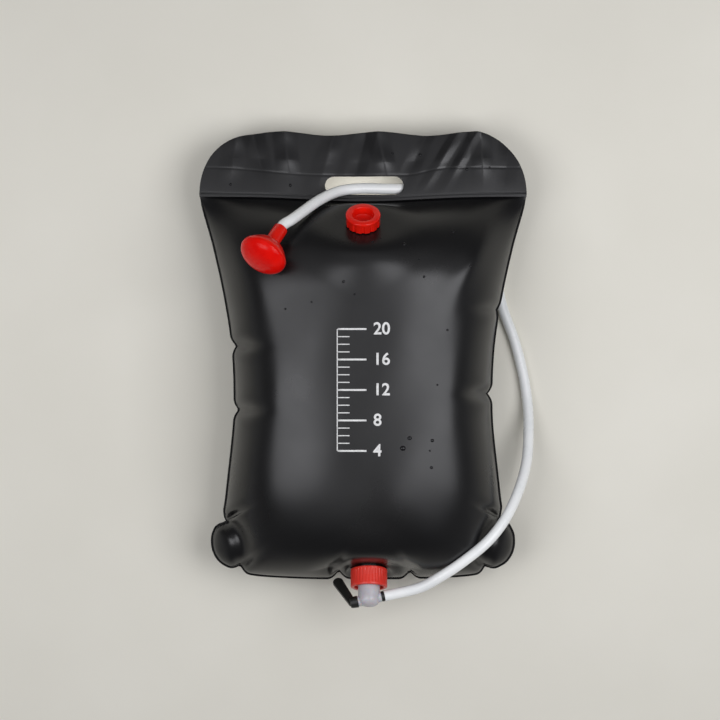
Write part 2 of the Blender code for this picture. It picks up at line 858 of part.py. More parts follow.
def tap_body(axis, cross, flange_radius, flange_low, flange_high):
    """Barrel with a domed end, a cross boss for the plug and a spigot for the hose."""
    profile = []
    for index in range(7):
        angle = math.pi / 2 * index / 6
        radius = TAP_RADIUS * math.sin(angle) ** 0.8
        profile.append((radius, TAP_END - TAP_DOME + TAP_DOME * math.cos(angle) ** 0.8))
    profile[-1] = (TAP_RADIUS, TAP_END - TAP_DOME)
    profile += [
        (TAP_RADIUS, flange_high),
        (flange_radius, flange_high),
        (flange_radius, flange_low),
        (0, flange_low),
    ]
    profile[0] = (0, TAP_END)
    body = turned("tap_body", profile, tap_white, axis, TURN_STEPS, closed=False)
    boss = rod("tap_boss", BOSS_RADIUS, -BOSS_REACH, BOSS_REACH, cross, FINE_STEPS)
    join(body, boss)
    spigot = rod("tap_spigot", SPIGOT_RADIUS, 0, SPIGOT_REACH, cross, FINE_STEPS)
    join(body, spigot)
    cut(body, rod("tap_inlet", TAP_WATERWAY, flange_low - OVERRUN, TAP_CROSSING, axis, FINE_STEPS))
    bore = PLUG_RADIUS + FIT_GAP
    plug_end = PLUG_REACH + FIT_GAP
    cut(body, rod("plug_bore", bore, -BOSS_REACH - OVERRUN, plug_end, cross, FINE_STEPS))
    cut(body, rod("spigot_bore", SPIGOT_BORE, 0, SPIGOT_REACH + OVERRUN, cross, FINE_STEPS))


def tap_spindle(cross):
    """Hollow plug: water comes in by its side window and leaves along its bore to the hose."""
    groove_low = -ORING_PLACE - ORING_WIDTH / 2
    groove_high = -ORING_PLACE + ORING_WIDTH / 2
    groove = PLUG_RADIUS - ORING_DEPTH
    blind = -PLUG_BORE - OVERRUN
    profile = [
        (0, blind),
        (PLUG_BORE, blind),
        (PLUG_BORE, PLUG_REACH),
        (PLUG_RADIUS, PLUG_REACH),
        (PLUG_RADIUS, groove_high),
        (groove, groove_high),
        (groove, groove_low),
        (PLUG_RADIUS, groove_low),
        (PLUG_RADIUS, -BOSS_REACH + FIT_GAP),
        (STUB_RADIUS, -BOSS_REACH + FIT_GAP),
        (STUB_RADIUS, -STUB_REACH),
        (0, -STUB_REACH),
    ]
    spindle = turned("tap_spindle", profile, lever_black, cross, FINE_STEPS, closed=False)
    cut(spindle, rod("plug_window", PLUG_BORE, 0, PLUG_RADIUS + OVERRUN, cross, FINE_STEPS, axis="X"))
    low = groove_low + FIT_GAP
    high = groove_high - FIT_GAP
    turned("tap_oring", ring_profile(PLUG_RADIUS, groove + FIT_GAP, low, high), rubber_grey, cross, FINE_STEPS)


def lever_outline():
    """A tapered arm with round ends, from the hub along local X."""
    points = []
    for index in range(9):
        angle = math.pi / 2 - math.pi * index / 8
        points.append((LEVER_LENGTH + LEVER_TIP * math.cos(angle), LEVER_TIP * math.sin(angle)))
    for index in range(9):
        angle = -math.pi / 2 - math.pi * index / 8
        points.append((LEVER_ROOT * math.cos(angle), LEVER_ROOT * math.sin(angle)))
    return points


def tap_lever(cross):
    """Hub with a socket on the spindle's stub, and an arm that leans out past the nut."""
    hub_low = -HUB_REACH
    hub_high = -BOSS_REACH - FIT_GAP
    socket = STUB_RADIUS + FIT_GAP
    socket_low = -STUB_REACH - FIT_GAP
    edge = HUB_EDGE
    profile = [
        (0, socket_low),
        (socket, socket_low),
        (socket, hub_high),
        (HUB_RADIUS, hub_high),
        (HUB_RADIUS, hub_low + edge),
        (HUB_RADIUS - edge, hub_low),
        (0, hub_low),
    ]
    lever = turned("tap_lever", profile, lever_black, cross, FINE_STEPS, closed=False)
    lever.rotation_euler = (0, 0, -LEVER_DROP)
    outline = bpy.data.curves.new("lever_arm", "CURVE")
    outline.dimensions = "2D"
    outline.fill_mode = "BOTH"
    outline.extrude = LEVER_THICKNESS / 2
    spline = outline.splines.new("POLY")
    points = lever_outline()
    spline.points.add(len(points) - 1)
    for point, (x, y) in zip(spline.points, points):
        point.co = (x, y, 0, 1)
    spline.use_cyclic_u = True
    drawn = bpy.data.objects.new("lever_arm_curve", outline)
    cutters.objects.link(drawn)
    bpy.context.view_layer.update()
    graph = bpy.context.evaluated_depsgraph_get()
    mesh = bpy.data.meshes.new_from_object(drawn.evaluated_get(graph))
    bpy.data.objects.remove(drawn)
    shape = bmesh.new()
    shape.from_mesh(mesh)
    bmesh.ops.remove_doubles(shape, verts=shape.verts, dist=MERGE)
    bmesh.ops.recalc_face_normals(shape, faces=shape.faces)
    points = shape.verts
    bmesh.ops.rotate(shape, verts=points, matrix=Matrix.Rotation(math.pi / 2, 3, "X"))
    bmesh.ops.rotate(shape, verts=points, matrix=Matrix.Rotation(LEVER_LEAN, 3, "Y"))
    bmesh.ops.translate(shape, verts=points, vec=(0, 0, -LEVER_PLACE))
    arm = place("lever_arm", mesh_from("lever_arm", shape), lever_black, cross, cutters)
    arm.rotation_euler = (0, 0, -LEVER_DROP)
    join(lever, arm)
    cut(lever, rod("stub_socket", socket, socket_low, hub_high + OVERRUN, cross, FINE_STEPS))


# Hose
HOSE_ROUTE = (
    (0.0690, -0.2655, 0.0980),
    (0.0930, -0.2520, 0.1050),
    (0.1190, -0.2345, 0.1075),
    (0.1500, -0.2095, 0.1050),
    (0.1725, -0.1820, 0.0945),
    (0.1895, -0.1500, 0.0730),
    (0.2010, -0.1155, 0.0480),
    (0.2050, -0.0760, 0.0250),
    (0.2045, -0.0430, 0.0110),
    (0.1990, -0.0060, 0.0068),
    (0.1880, 0.0360, 0.0068),
    (0.1745, 0.0730, 0.0068),
    (0.1670, 0.1080, 0.0070),
    (0.1660, 0.1400, 0.0085),
    (0.1610, 0.1720, 0.0125),
    (0.1440, 0.2000, 0.0210),
    (0.1150, 0.2165, 0.0340),
    (0.0780, 0.2225, 0.0450),
    (0.0500, 0.2195, 0.0520),
    (0.0250, 0.2190, 0.0590),
    (0.0000, 0.2190, 0.0660),
    (-0.0220, 0.2165, 0.0740),
    (-0.0380, 0.2110, 0.0850),
    (-0.0540, 0.2015, 0.1020),
    (-0.0690, 0.1895, 0.1225),
    (-0.0840, 0.1770, 0.1430),
)


def rose_direction():
    east, north = ROSE_HEADING
    level = math.sin(ROSE_LEAN) / math.hypot(east, north)
    return Vector((east * level, north * level, math.cos(ROSE_LEAN)))


def shower_hose(cross):
    """A tube pushed over the tap's spigot at one end and into the rose's neck at the other."""
    centre = cross.matrix_world.translation
    out = (cross.matrix_world.to_3x3() @ Vector((0, 0, 1))).normalized()
    start = BOSS_REACH + COLLAR_LENGTH + 2 * FIT_GAP
    into = rose_direction()
    mouth = Vector(ROSE_PLACE)
    route = [centre + out * start, centre + out * (start + HOSE_BORE), centre + out * SPIGOT_REACH]
    route += [Vector(point) for point in HOSE_ROUTE]
    route += [mouth - into * HOSE_RADIUS, mouth + into * HOSE_BORE]
    route.append(mouth + into * (ROSE_SOCKET - FIT_GAP))
    line = evenly(smooth_curve(route, 12), HOSE_POINTS)
    curve = bpy.data.curves.new("shower_hose", "CURVE")
    curve.dimensions = "3D"
    curve.bevel_depth = HOSE_RADIUS
    curve.bevel_resolution = 2
    spline = curve.splines.new("POLY")
    spline.points.add(len(line) - 1)
    for point, found in zip(spline.points, line):
        point.co = (*found, 1)
    hose = place("shower_hose", curve, hose_clear)
    length = sum((second - first).length for first, second in zip(line, line[1:]))
    print("hose length", round(length, 4))
    return solidify(hose, HOSE_RADIUS - HOSE_BORE)


# Shower rose
def rose():
    axis = axis_empty("rose_axis", Vector(ROSE_PLACE), rose_direction(), (0, 0, 1))
    neck = ROSE_NECK_RADIUS
    rim = ROSE_RADIUS
    rim_low = ROSE_RIM_PLACE
    bell = rim_low - ROSE_NECK_LENGTH
    socket = HOSE_RADIUS + FIT_GAP
    outside = [(rim, rim_low), (rim - ROSE_WALL / 3, rim_low - 2 * ROSE_WALL)]
    inside = []
    steps = 6
    for index in range(steps + 1):
        share = 1 - index / steps
        radius = neck + (rim - 2 * ROSE_WALL / 3 - neck) * share
        height = ROSE_NECK_LENGTH + (bell - 2.4 * ROSE_WALL) * share**1.7
        outside.append((radius, height))
        if 0 < share < 1:
            inside.append((radius - ROSE_WALL, height + ROSE_WALL))
    outside.append((neck, 0))
    inner = [(socket, 0), (socket, ROSE_SOCKET), (ROSE_WATERWAY, ROSE_SOCKET)]
    inner.append((ROSE_WATERWAY, ROSE_NECK_LENGTH + ROSE_WALL))
    inner += inside[::-1]
    floor = rim_low - 1.5 * ROSE_WALL
    inner.append((rim - 5 * ROSE_WALL / 3, floor))
    inner.append((rim - ROSE_WALL, floor))
    inner.append((rim - ROSE_WALL, rim_low))
    turned("rose_body", outside + inner, cap_red, axis, TURN_STEPS)
    rose_face(axis, rim_low + FIT_GAP)


def rose_face(axis, low):
    """Domed face with rings of spray holes, on a spigot inside the bell's rim."""
    outer = []
    inner = []
    lip = ROSE_WALL
    steps = 6
    for index in range(steps + 1):
        share = index / steps
        height = low + lip + ROSE_DOME * (1 - share**2)
        outer.append((ROSE_RADIUS * share, height))
        inner.append(((ROSE_RADIUS - 3 * ROSE_WALL) * share, height - ROSE_WALL * (1 + share / 2)))
    spigot = ROSE_RADIUS - ROSE_WALL - FIT_GAP
    outer.append((ROSE_RADIUS, low))
    outer.append((spigot, low))
    outer.append((spigot, low - 1.5 * ROSE_WALL))
    outer.append((spigot - ROSE_WALL, low - 1.5 * ROSE_WALL))
    profile = outer + inner[::-1][1:]
    face = turned("rose_face", profile, cap_red, axis, TURN_STEPS, closed=False)
    shape = bmesh.new()
    for ring in range(SPRAY_RINGS + 1):
        count = max(1, 6 * ring)
        for index in range(count):
            angle = 2 * math.pi * index / count
            made = bmesh.ops.create_cone(
                shape,
                cap_ends=True,
                segments=5,
                radius1=SPRAY_HOLE_RADIUS,
                radius2=SPRAY_HOLE_RADIUS,
                depth=2 * ROSE_DOME + 2 * ROSE_WALL,
            )
            reach = SPRAY_RING_SPACING * ring
            centre = (reach * math.cos(angle), reach * math.sin(angle), low + ROSE_DOME)
            bmesh.ops.translate(shape, verts=made["verts"], vec=centre)
    holes = place("spray_holes", mesh_from("spray_holes", shape), lever_black, axis, cutters)
    cut(face, holes)


def smooth_round_pieces():
    for made in parts.objects:
        if made.type == "MESH":
            made.data.shade_smooth()


def build():
    clear_scene()
    panel = front_panel()
    back_panel()
    water_fill()
    handle_flap()
    filler(panel)
    cross = outlet(panel)
    bpy.context.view_layer.update()
    shower_hose(cross)
    rose()
    smooth_round_pieces()


build()
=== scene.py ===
import math

import bmesh
import bpy
import numpy as np
from mathutils import Matrix, Vector
from mathutils.geometry import delaunay_2d_cdt


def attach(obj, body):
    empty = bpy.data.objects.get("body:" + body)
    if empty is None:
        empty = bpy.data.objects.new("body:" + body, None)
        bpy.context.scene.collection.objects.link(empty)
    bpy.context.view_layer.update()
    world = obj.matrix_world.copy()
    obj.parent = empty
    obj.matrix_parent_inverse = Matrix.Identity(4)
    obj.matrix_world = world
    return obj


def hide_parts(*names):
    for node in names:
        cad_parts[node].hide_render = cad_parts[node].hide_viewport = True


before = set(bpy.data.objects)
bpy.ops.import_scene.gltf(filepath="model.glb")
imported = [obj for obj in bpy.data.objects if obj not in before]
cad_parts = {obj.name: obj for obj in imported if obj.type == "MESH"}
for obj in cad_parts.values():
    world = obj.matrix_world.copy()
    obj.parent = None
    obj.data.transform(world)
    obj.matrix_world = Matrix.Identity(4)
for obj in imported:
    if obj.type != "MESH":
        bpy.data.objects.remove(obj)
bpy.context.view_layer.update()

# The camera stands three metres straight above the bag, as the photographer did, and looks down
# on it with the handle flap at the top of the picture.
camera_data = bpy.data.cameras.new("camera")
camera_data.lens = 120.1
camera = bpy.data.objects.new("camera", camera_data)
bpy.context.scene.collection.objects.link(camera)
camera.location = (-0.0037, 0.0094, 3.0)
bpy.context.scene.camera = camera

# Shower hose: a soft clear PVC tube of 13 mm, pushed over the tap's spigot and into the rose's
# neck. It lies round behind the bag and comes up through the handle slot. It is one plain
# extruded tube, 0.92 m long.
hose_radius = 0.0065
hose_wall = 0.0020
hose_steps = 8
tap_turn = math.radians(12)
outlet_tilt = math.radians(18)
outlet_place = Vector((0.0071, -0.2423, 0.088))
outlet_out = Vector((0, -math.cos(outlet_tilt), math.sin(outlet_tilt)))
cross_place = outlet_place + outlet_out * 0.0390
cross_out = Vector((math.cos(tap_turn), 0, 0)) - outlet_out * math.sin(tap_turn)
rose_place = Vector((-0.0973, 0.1651, 0.1560))
rose_lean = math.radians(58)
rose_level = math.sin(rose_lean) / math.hypot(0.529, 0.849)
rose_out = Vector((-0.529 * rose_level, -0.849 * rose_level, math.cos(rose_lean)))
hose_route = [
    cross_place + cross_out * 0.0193,
    cross_place + cross_out * 0.0238,
    cross_place + cross_out * 0.0310,
    (0.0690, -0.2655, 0.0980),
    (0.0930, -0.2520, 0.1050),
    (0.1190, -0.2345, 0.1075),
    (0.1500, -0.2095, 0.1050),
    (0.1725, -0.1820, 0.0945),
    (0.1895, -0.1500, 0.0730),
    (0.2010, -0.1155, 0.0480),
    (0.2050, -0.0760, 0.0250),
    (0.2045, -0.0430, 0.0110),
    (0.1990, -0.0060, 0.0068),
    (0.1880, 0.0360, 0.0068),
    (0.1745, 0.0730, 0.0068),
    (0.1670, 0.1080, 0.0070),
    (0.1660, 0.1400, 0.0085),
    (0.1610, 0.1720, 0.0125),
    (0.1440, 0.2000, 0.0210),
    (0.1150, 0.2165, 0.0340),
    (0.0780, 0.2225, 0.0450),
    (0.0500, 0.2195, 0.0520),
    (0.0250, 0.2190, 0.0590),
    (0.0000, 0.2190, 0.0660),
    (-0.0220, 0.2165, 0.0740),
    (-0.0380, 0.2110, 0.0850),
    (-0.0540, 0.2015, 0.1020),
    (-0.0690, 0.1895, 0.1225),
    (-0.0840, 0.1770, 0.1430),
    rose_place - rose_out * 0.0065,
    rose_place + rose_out * 0.0045,
    rose_place + rose_out * 0.0157,
]


def smooth_line(points, steps):
    """Points on a smooth curve through the given ones, steps to each stretch."""
    points = [Vector(point) for point in points]
    ends = [points[0] * 2 - points[1], *points, points[-1] * 2 - points[-2]]
    found = []
    for a, b, c, d in zip(ends, ends[1:], ends[2:], ends[3:]):
        for step in range(steps):
            t = step / steps
            bend = (c - a) * t + (a * 2 - b * 5 + c * 4 - d) * t**2 + (b * 3 - a - c * 3 + d) * t**3
            found.append((b * 2 + bend) / 2)
    found.append(points[-1])
    return found


def tube_mesh(name, line, outer, inner, sides):
    """A hollow tube along a line, with a flat ring at each end."""
    forward = (line[1] - line[0]).normalized()
    side = forward.orthogonal().normalized()
    shape = bmesh.new()
    rings = []
    for index, point in enumerate(line):
        ahead = line[min(index + 1, len(line) - 1)] - line[max(index - 1, 0)]
        side = (side - ahead * side.dot(ahead) / ahead.length_squared).normalized()
        up = ahead.normalized().cross(side)
        for radius in (outer, inner):
            ring = []
            for turn in range(sides):
                angle = 2 * math.pi * turn / sides
                spoke = side * math.cos(angle) + up * math.sin(angle)
                ring.append(shape.verts.new(point + spoke * radius))
            rings.append(ring)
    for index in range(len(line) - 1):
        for turn in range(sides):
            after = (turn + 1) % sides
            a, b = rings[2 * index], rings[2 * index + 2]
            shape.faces.new((a[turn], a[after], b[after], b[turn]))
            a, b = rings[2 * index + 1], rings[2 * index + 3]
            shape.faces.new((a[after], a[turn], b[turn], b[after]))
    for first, second, back in ((rings[0], rings[1], True), (rings[-2], rings[-1], False)):
        for turn in range(sides):
            after = (turn + 1) % sides
            corners = (first[turn], first[after], second[after], second[turn])
            shape.faces.new(corners[::-1] if back else corners)
    for face in shape.faces:
        face.smooth = True
    mesh = bpy.data.meshes.new(name)
    shape.to_mesh(mesh)
    shape.free()
    return mesh


def new_piece(name, mesh, material):
    made = bpy.data.objects.new(name, mesh)
    bpy.context.scene.collection.objects.link(made)
    made.data.materials.append(material)
    return made


def math_node(tree, operation, *given):
    """The result of a math node that is fed with numbers or with other nodes' results."""
    node = tree.nodes.new("ShaderNodeMath")
    node.operation = operation
    for socket, value in zip(node.inputs, given):
        if isinstance(value, float):
            socket.default_value = value
        else:
            tree.links.new(value, socket)
    return node.outputs["Value"]


def range_node(tree, value, start, end, low, high):
    """The result of a map range node, which turns start into low and end into high."""
    node = tree.nodes.new("ShaderNodeMapRange")
    tree.links.new(value, node.inputs["Value"])
    for label, given in (("From Min", start), ("From Max", end), ("To Min", low), ("To Max", high)):
        node.inputs[label].default_value = given
    return node.outputs["Result"]


def skin_group():
    """The skin of moulded or rolled plastic: colour and gloss that drift a little, and a fine grain."""
    group = bpy.data.node_groups.new("plastic_skin", "ShaderNodeTree")
    for name, kind, value in (
        ("Dark", "NodeSocketColor", (0, 0, 0, 1)),
        ("Light", "NodeSocketColor", (1, 1, 1, 1)),
        ("Roughness", "NodeSocketFloat", 0.4),
        ("Drift", "NodeSocketFloat", 70.0),
        ("Grain", "NodeSocketFloat", 1500.0),
        ("Depth", "NodeSocketFloat", 0.1),
    ):
        group.interface.new_socket(name=name, in_out="INPUT", socket_type=kind).default_value = value
    for name, kind in (
        ("Colour", "NodeSocketColor"),
        ("Roughness", "NodeSocketFloat"),
        ("Normal", "NodeSocketVector"),
    ):
        group.interface.new_socket(name=name, in_out="OUTPUT", socket_type=kind)
    given = group.nodes.new("NodeGroupInput")
    result = group.nodes.new("NodeGroupOutput")
    place = group.nodes.new("ShaderNodeTexCoord")
    cloud = group.nodes.new("ShaderNodeTexNoise")
    cloud.inputs["Detail"].default_value = 5.0
    group.links.new(place.outputs["Object"], cloud.inputs["Vector"])
    group.links.new(given.outputs["Drift"], cloud.inputs["Scale"])
    tint = group.nodes.new("ShaderNodeMix")
    tint.data_type = "RGBA"
    group.links.new(range_node(group, cloud.outputs["Fac"], 0.3, 0.7, 0.0, 1.0), tint.inputs["Factor"])
    group.links.new(given.outputs["Dark"], tint.inputs[6])
    group.links.new(given.outputs["Light"], tint.inputs[7])
    group.links.new(tint.outputs[2], result.inputs["Colour"])
    gloss = range_node(group, cloud.outputs["Fac"], 0.3, 0.7, 1.22, 0.84)
    rough = math_node(group, "MULTIPLY", gloss, given.outputs["Roughness"])
    group.links.new(rough, result.inputs["Roughness"])
    grain = group.nodes.new("ShaderNodeTexNoise")
    grain.inputs["Detail"].default_value = 2.0
    group.links.new(place.outputs["Object"], grain.inputs["Vector"])
    group.links.new(given.outputs["Grain"], grain.inputs["Scale"])
    bump = group.nodes.new("ShaderNodeBump")
    bump.inputs["Distance"].default_value = 0.0002
    group.links.new(given.outputs["Depth"], bump.inputs["Strength"])
    group.links.new(grain.outputs["Fac"], bump.inputs["Height"])
    group.links.new(bump.outputs["Normal"], result.inputs["Normal"])
    return group


plastic_skin = skin_group()


def plastic(name, dark, light, roughness, drift=70.0, grain=1500.0, depth=0.12, **constants):
    """A material with the plastic skin, in its own colours, gloss and grain."""
    material = bpy.data.materials.new(name)
    material.use_nodes = True
    tree = material.node_tree
    shader = tree.nodes["Principled BSDF"]
    skin = tree.nodes.new("ShaderNodeGroup")
    skin.node_tree = plastic_skin
    for socket, value in zip(skin.inputs, ((*dark, 1), (*light, 1), roughness, drift, grain, depth)):
        socket.default_value = value
    tree.links.new(skin.outputs["Colour"], shader.inputs["Base Color"])
    tree.links.new(skin.outputs["Roughness"], shader.inputs["Roughness"])
    tree.links.new(skin.outputs["Normal"], shader.inputs["Normal"])
    for label, value in constants.items():
        shader.inputs[label.replace("_", " ")].default_value = value
    return material


hose_finish = plastic(
    "hose_clear_pvc",
    (0.82, 0.84, 0.84),
    (0.91, 0.92, 0.91),
    0.26,
    drift=28.0,
    grain=260.0,
    depth=0.5,
)
hose_line = smooth_line(hose_route, hose_steps)
hose = new_piece("hose", tube_mesh("hose", hose_line, hose_radius, hose_radius - hose_wall, 24), hose_finish)
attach(hose, "bag")
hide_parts("shower_hose")

# Bag: two sheets of black PVC film of half a millimetre, welded together all round and along the
# foot of the handle flap. The filling draws them up into a pillow, and their slack gathers in
# puckers along the weld. The back sheet lies flat on the floor, and the hose dents the front one.
bag_width = 0.400
bag_length = 0.469
weld_place = 0.2105
weld_dip = 0.006
weld_dip_reach = 0.090
weld_width = 0.006
seam_width = 0.0024
seam_height = 0.062
belly_rise = 0.100
film = 0.0005
film_gap = 0.0003
mesh_spacing = 0.003
pucker_depth = 0.010
pucker_reach = 0.014
pucker_fade = 0.021
ear_reach = 0.060
foot_start = -0.050
edge_reach = 0.080
corner_run = 0.012
header_height = 0.0738
seam_outline = (
    (1.000, 0.000),
    (0.982, 0.038),
    (0.947, 0.090),
    (0.914, 0.142),
    (0.860, 0.246),
    (0.818, 0.350),
    (0.798, 0.434),
    (0.792, 0.520),
    (0.797, 0.601),
    (0.828, 0.726),
    (0.852, 0.810),
    (0.878, 0.837),
    (0.906, 0.862),
    (0.926, 0.882),
    (0.930, 0.903),
    (0.923, 0.924),
    (0.900, 0.945),
    (0.857, 0.963),
    (0.758, 0.981),
    (0.630, 0.993),
    (0.300, 1.000),
    (0.000, 1.000),
)
pucker_places = (
    (0.837, 0.298, 0.30),
    (0.792, 0.517, 0.60),
    (0.876, 0.834, 0.90),
    (0.758, 0.981, 0.75),
    (0.293, 1.000, 0.95),
    (-0.153, 1.000, 1.05),
    (-0.765, 0.981, 0.80),
    (-0.878, 0.841, 1.00),
    (-0.792, 0.559, 0.60),
    (-0.808, 0.392, 0.60),
)
filler_lean = math.radians(48)
filler_out = Vector((0, math.sin(filler_lean), math.cos(filler_lean)))
filler_place = Vector((0, 0.172, 0.12628))
patch_radius = 0.0265
patch_fade = 0.060
neck_hole_radius = 0.0173
neck_hole_depth = 0.004
hose_clearance = 0.0011
dent_softness = 0.0016
nut_clearance = 0.0010
nut_reach = 0.0236


def weld_line(x):
    """Where the top weld runs: it dips below the handle slot."""
    return weld_place - weld_dip * np.exp(-((x / weld_dip_reach) ** 2))


spine_top = weld_place - 0.247 * bag_length
spine_foot = weld_place - 0.662 * bag_length


def ear_at(x, y):
    """How far a place belongs to one of the four corners, from 0 to 1."""
    found = 0 * x
    for across, down in ((1.0, 0.0), (0.90, 0.92)):
        apart = np.hypot(np.abs(x) - across * bag_width / 2, y - weld_place + down * bag_length)
        found = np.maximum(found, np.exp(-((apart / ear_reach) ** 2)))
    return found


def crown(x, y):
    """How full the front is at a place: it falls off to the sides, and more at the weld and the foot."""
    side = 1 - 0.55 * (np.abs(x) / (bag_width / 2)) ** 2.4
    weld = weld_line(x) - weld_width / 2
    top_run = np.clip((y - spine_top) / (weld - spine_top), 0, 1)
    foot_run = np.clip((foot_start - y) / (foot_start - weld_place + bag_length), 0, 1)
    return side * (1 - top_run**2.6) ** 0.8 * (1 - 0.38 * foot_run**3.0)


def ear_fold(x, y):
    """The soft fold that sets each ear at the foot off from the belly, from one pucker to the next."""
    start = np.array((0.165, -0.186))
    along = np.array((0.149, -0.238)) - start
    apart_x = np.abs(x) - start[0]
    apart_y = y - start[1]
    share = np.clip((apart_x * along[0] + apart_y * along[1]) / (along @ along), 0, 1)
    bow = 0.010 * 4 * share * (1 - share)
    away = np.hypot(apart_x - along[0] * share + bow, apart_y - along[1] * share)
    return np.exp(-((away / 0.011) ** 2))


def slack(x, y):
    """Long shallow waves in the film, and a pulled ridge from each top corner towards the belly."""
    ridge = 0
    for start, end, lift in (
        ((0.178, 0.196), (0.100, 0.074), 0.0064),
        ((-0.188, 0.196), (-0.128, 0.078), 0.0038),
    ):
        start, end = np.array(start), np.array(end)
        along = end - start
        share = ((x - start[0]) * along[0] + (y - start[1]) * along[1]) / (along @ along)
        away = ((x - start[0]) * along[1] - (y - start[1]) * along[0]) / math.hypot(*along)
        ridge = ridge + lift * np.exp(-((away / 0.017) ** 2)) * np.exp(-(((share - 0.5) / 0.38) ** 2))
    wave = 0.0007 * np.sin(x * 31 + 0.8) * np.sin(y * 23 - 0.5) + 0.0003 * np.sin(x * 57 - y * 39)
    return ridge + wave


class Pillow:
    """The seam's outline, its puckers, and the film drawn up over it along lines in to the spine."""

    def __init__(self, spacing):
        right = [Vector((a * bag_width / 2, weld_place - d * bag_length, 0)) for a, d in seam_outline]
        left = [Vector((-point.x, point.y, 0)) for point in right[:-1]]
        line = np.array([point[:2] for point in smooth_line(left + right[::-1], 24)])
        runs = np.concatenate([[0], np.cumsum(np.linalg.norm(np.diff(line, axis=0), axis=1))])
        spots = []
        for across, down, depth in pucker_places:
            target = np.array((across * bag_width / 2, weld_place - down * bag_length))
            nearest = np.linalg.norm(line - target, axis=1).argmin()
            spots.append((runs[nearest], depth))
        count = round(runs[-1] / spacing)
        run = np.linspace(0, runs[-1], count)
        point = np.stack([np.interp(run, runs, line[:, axis]) for axis in (0, 1)], axis=1)
        ahead = np.gradient(point, axis=0)
        ahead /= np.linalg.norm(ahead, axis=1)[:, None]
        outward = np.stack([ahead[:, 1], -ahead[:, 0]], axis=1)
        dip = np.zeros(count)
        valley = np.zeros(count)
        ridge = np.zeros(count)
        for spot, depth in spots:
            apart = np.abs(run - spot) / pucker_reach
            dip += depth * pucker_depth * np.maximum(0, 1 - apart) ** 2
            valley += depth * np.exp(-((apart / 0.45) ** 2))
            ridge += depth * np.exp(-(((apart - 1.1) / 0.6) ** 2))
        outer = point - outward * dip[:, None]
        inner = outer - outward * seam_width
        corner = np.clip(1 - np.minimum(run, runs[-1] - run) / corner_run, 0, 1)
        outer[:, 1] += corner * weld_width / 2
        inner[:, 1] -= corner * weld_width / 2
        across = round(bag_width / spacing)
        x = bag_width / 2 - bag_width * np.arange(1, across) / across
        weld_outer = np.stack([x, weld_line(x) + weld_width / 2], axis=1)
        weld_inner = np.stack([x * (1 - 2 * seam_width / bag_width), weld_line(x) - weld_width / 2], axis=1)
        self.outer = np.concatenate([weld_outer, outer])
        self.inner = np.concatenate([weld_inner, inner])
        self.seam = inner
        self.density = 1 / spacing
        nothing = np.zeros(across - 1)
        self.valley = np.minimum(np.concatenate([nothing, valley]), 1)
        self.ridge = np.minimum(np.concatenate([nothing, ridge]), 1)
        weights = np.exp(-((np.arange(-24, 25) / 9.0) ** 2))
        wrapped = np.concatenate([self.inner[-24:], self.inner, self.inner[:24]])
        self.eased = np.stack(
            [np.convolve(wrapped[:, axis], weights / weights.sum(), "valid") for axis in (0, 1)], axis=1
        )
        middle = (spine_top + spine_foot) / 2
        half = (spine_top - spine_foot) / 2
        reach = (self.eased[:, 1] - middle) / half
        spine_y = middle + half * reach / (1 + np.abs(reach) ** 4) ** 0.25
        self.spine = np.stack([np.zeros(len(spine_y)), spine_y], axis=1)
        self.length = np.linalg.norm(self.inner - self.spine, axis=1)
        self.ear = ear_at(self.outer[:, 0], self.outer[:, 1])

    def plan(self, share):
        return self.spine + (self.eased - self.spine) * share + (self.inner - self.eased) * share**9

    def edge(self, height):
        """The outer edge of a sheet's seam, at a height."""
        return np.concatenate([self.outer, np.full((len(self.outer), 1), height)], axis=1)

    def edge_rise(self, plan):
        """How the film stands up from the side and foot seam: steeply at first, then rounding over."""
        total = np.zeros(len(plan))
        for start in range(0, len(self.seam), 64):
            apart = plan[:, None, :] - self.seam[None, start : start + 64, :]
            total += (1 / np.maximum((apart**2).sum(axis=2), 1e-10) ** 2).sum(axis=1)
        near = (self.density * math.pi / 2 / total) ** (1 / 3)
        return np.sqrt(1 - (1 - np.clip(near / edge_reach, 0, 1)) ** 3.5)

    def fullness(self, plan):
        x, y = plan[:, 0], plan[:, 1]
        return crown(x, y) * self.edge_rise(plan) * (1 - 0.34 * ear_at(x, y)) * (1 - 0.26 * ear_fold(x, y))

    def front(self, share):
        """One ring of the front sheet, at a share of the way out to the seam."""
        plan = self.plan(share)
        inward = (1 - share) * self.length
        full = self.fullness(plan) if share < 1 else np.zeros(len(plan))
        full *= 1 - 0.50 * self.valley * np.exp(-((inward / pucker_fade) ** 2))
        full *= 1 + 0.07 * self.ridge * np.exp(-((inward / pucker_fade) ** 2))
        return self.lifted(plan, full, np.clip(inward / 0.05, 0, 1))

    def front_middle(self, plan):
        """The front sheet inside the last ring, where no pucker reaches."""
        return self.lifted(plan, self.fullness(plan), 1.0)

    def lifted(self, plan, full, loose):
        height = seam_height + film_gap / 2 + film + belly_rise * full + slack(plan[:, 0], plan[:, 1]) * loose
        height = under_hose(plan, height)
        points = np.concatenate([plan, height[:, None]], axis=1)
        clear_of_seam = np.clip(loose * 5, 0, 1)
        points = flattened(points, filler_place, filler_out, clear_of_seam)
        points = flattened(points, outlet_place, outlet_out, clear_of_seam)
        return behind_nut(points)

    def back(self, share):
        """One ring of the back sheet."""
        rest = max(0.0, share - 0.5) / 0.5
        power = 2.2 - 0.9 * self.ear
        drop = np.maximum(0, 1 - rest**power) ** (1 / power)
        fold = 0.20 * self.valley * rest**2 * math.exp(-(1 - share) / 0.15)
        height = (seam_height - film_gap / 2 - film) * (1 - drop * (1 - fold))
        return np.concatenate([self.plan(share), height[:, None]], axis=1)

    def back_middle(self, plan):
        """The back sheet lies flat on the floor."""
        return np.concatenate([plan, np.zeros((len(plan), 1))], axis=1)


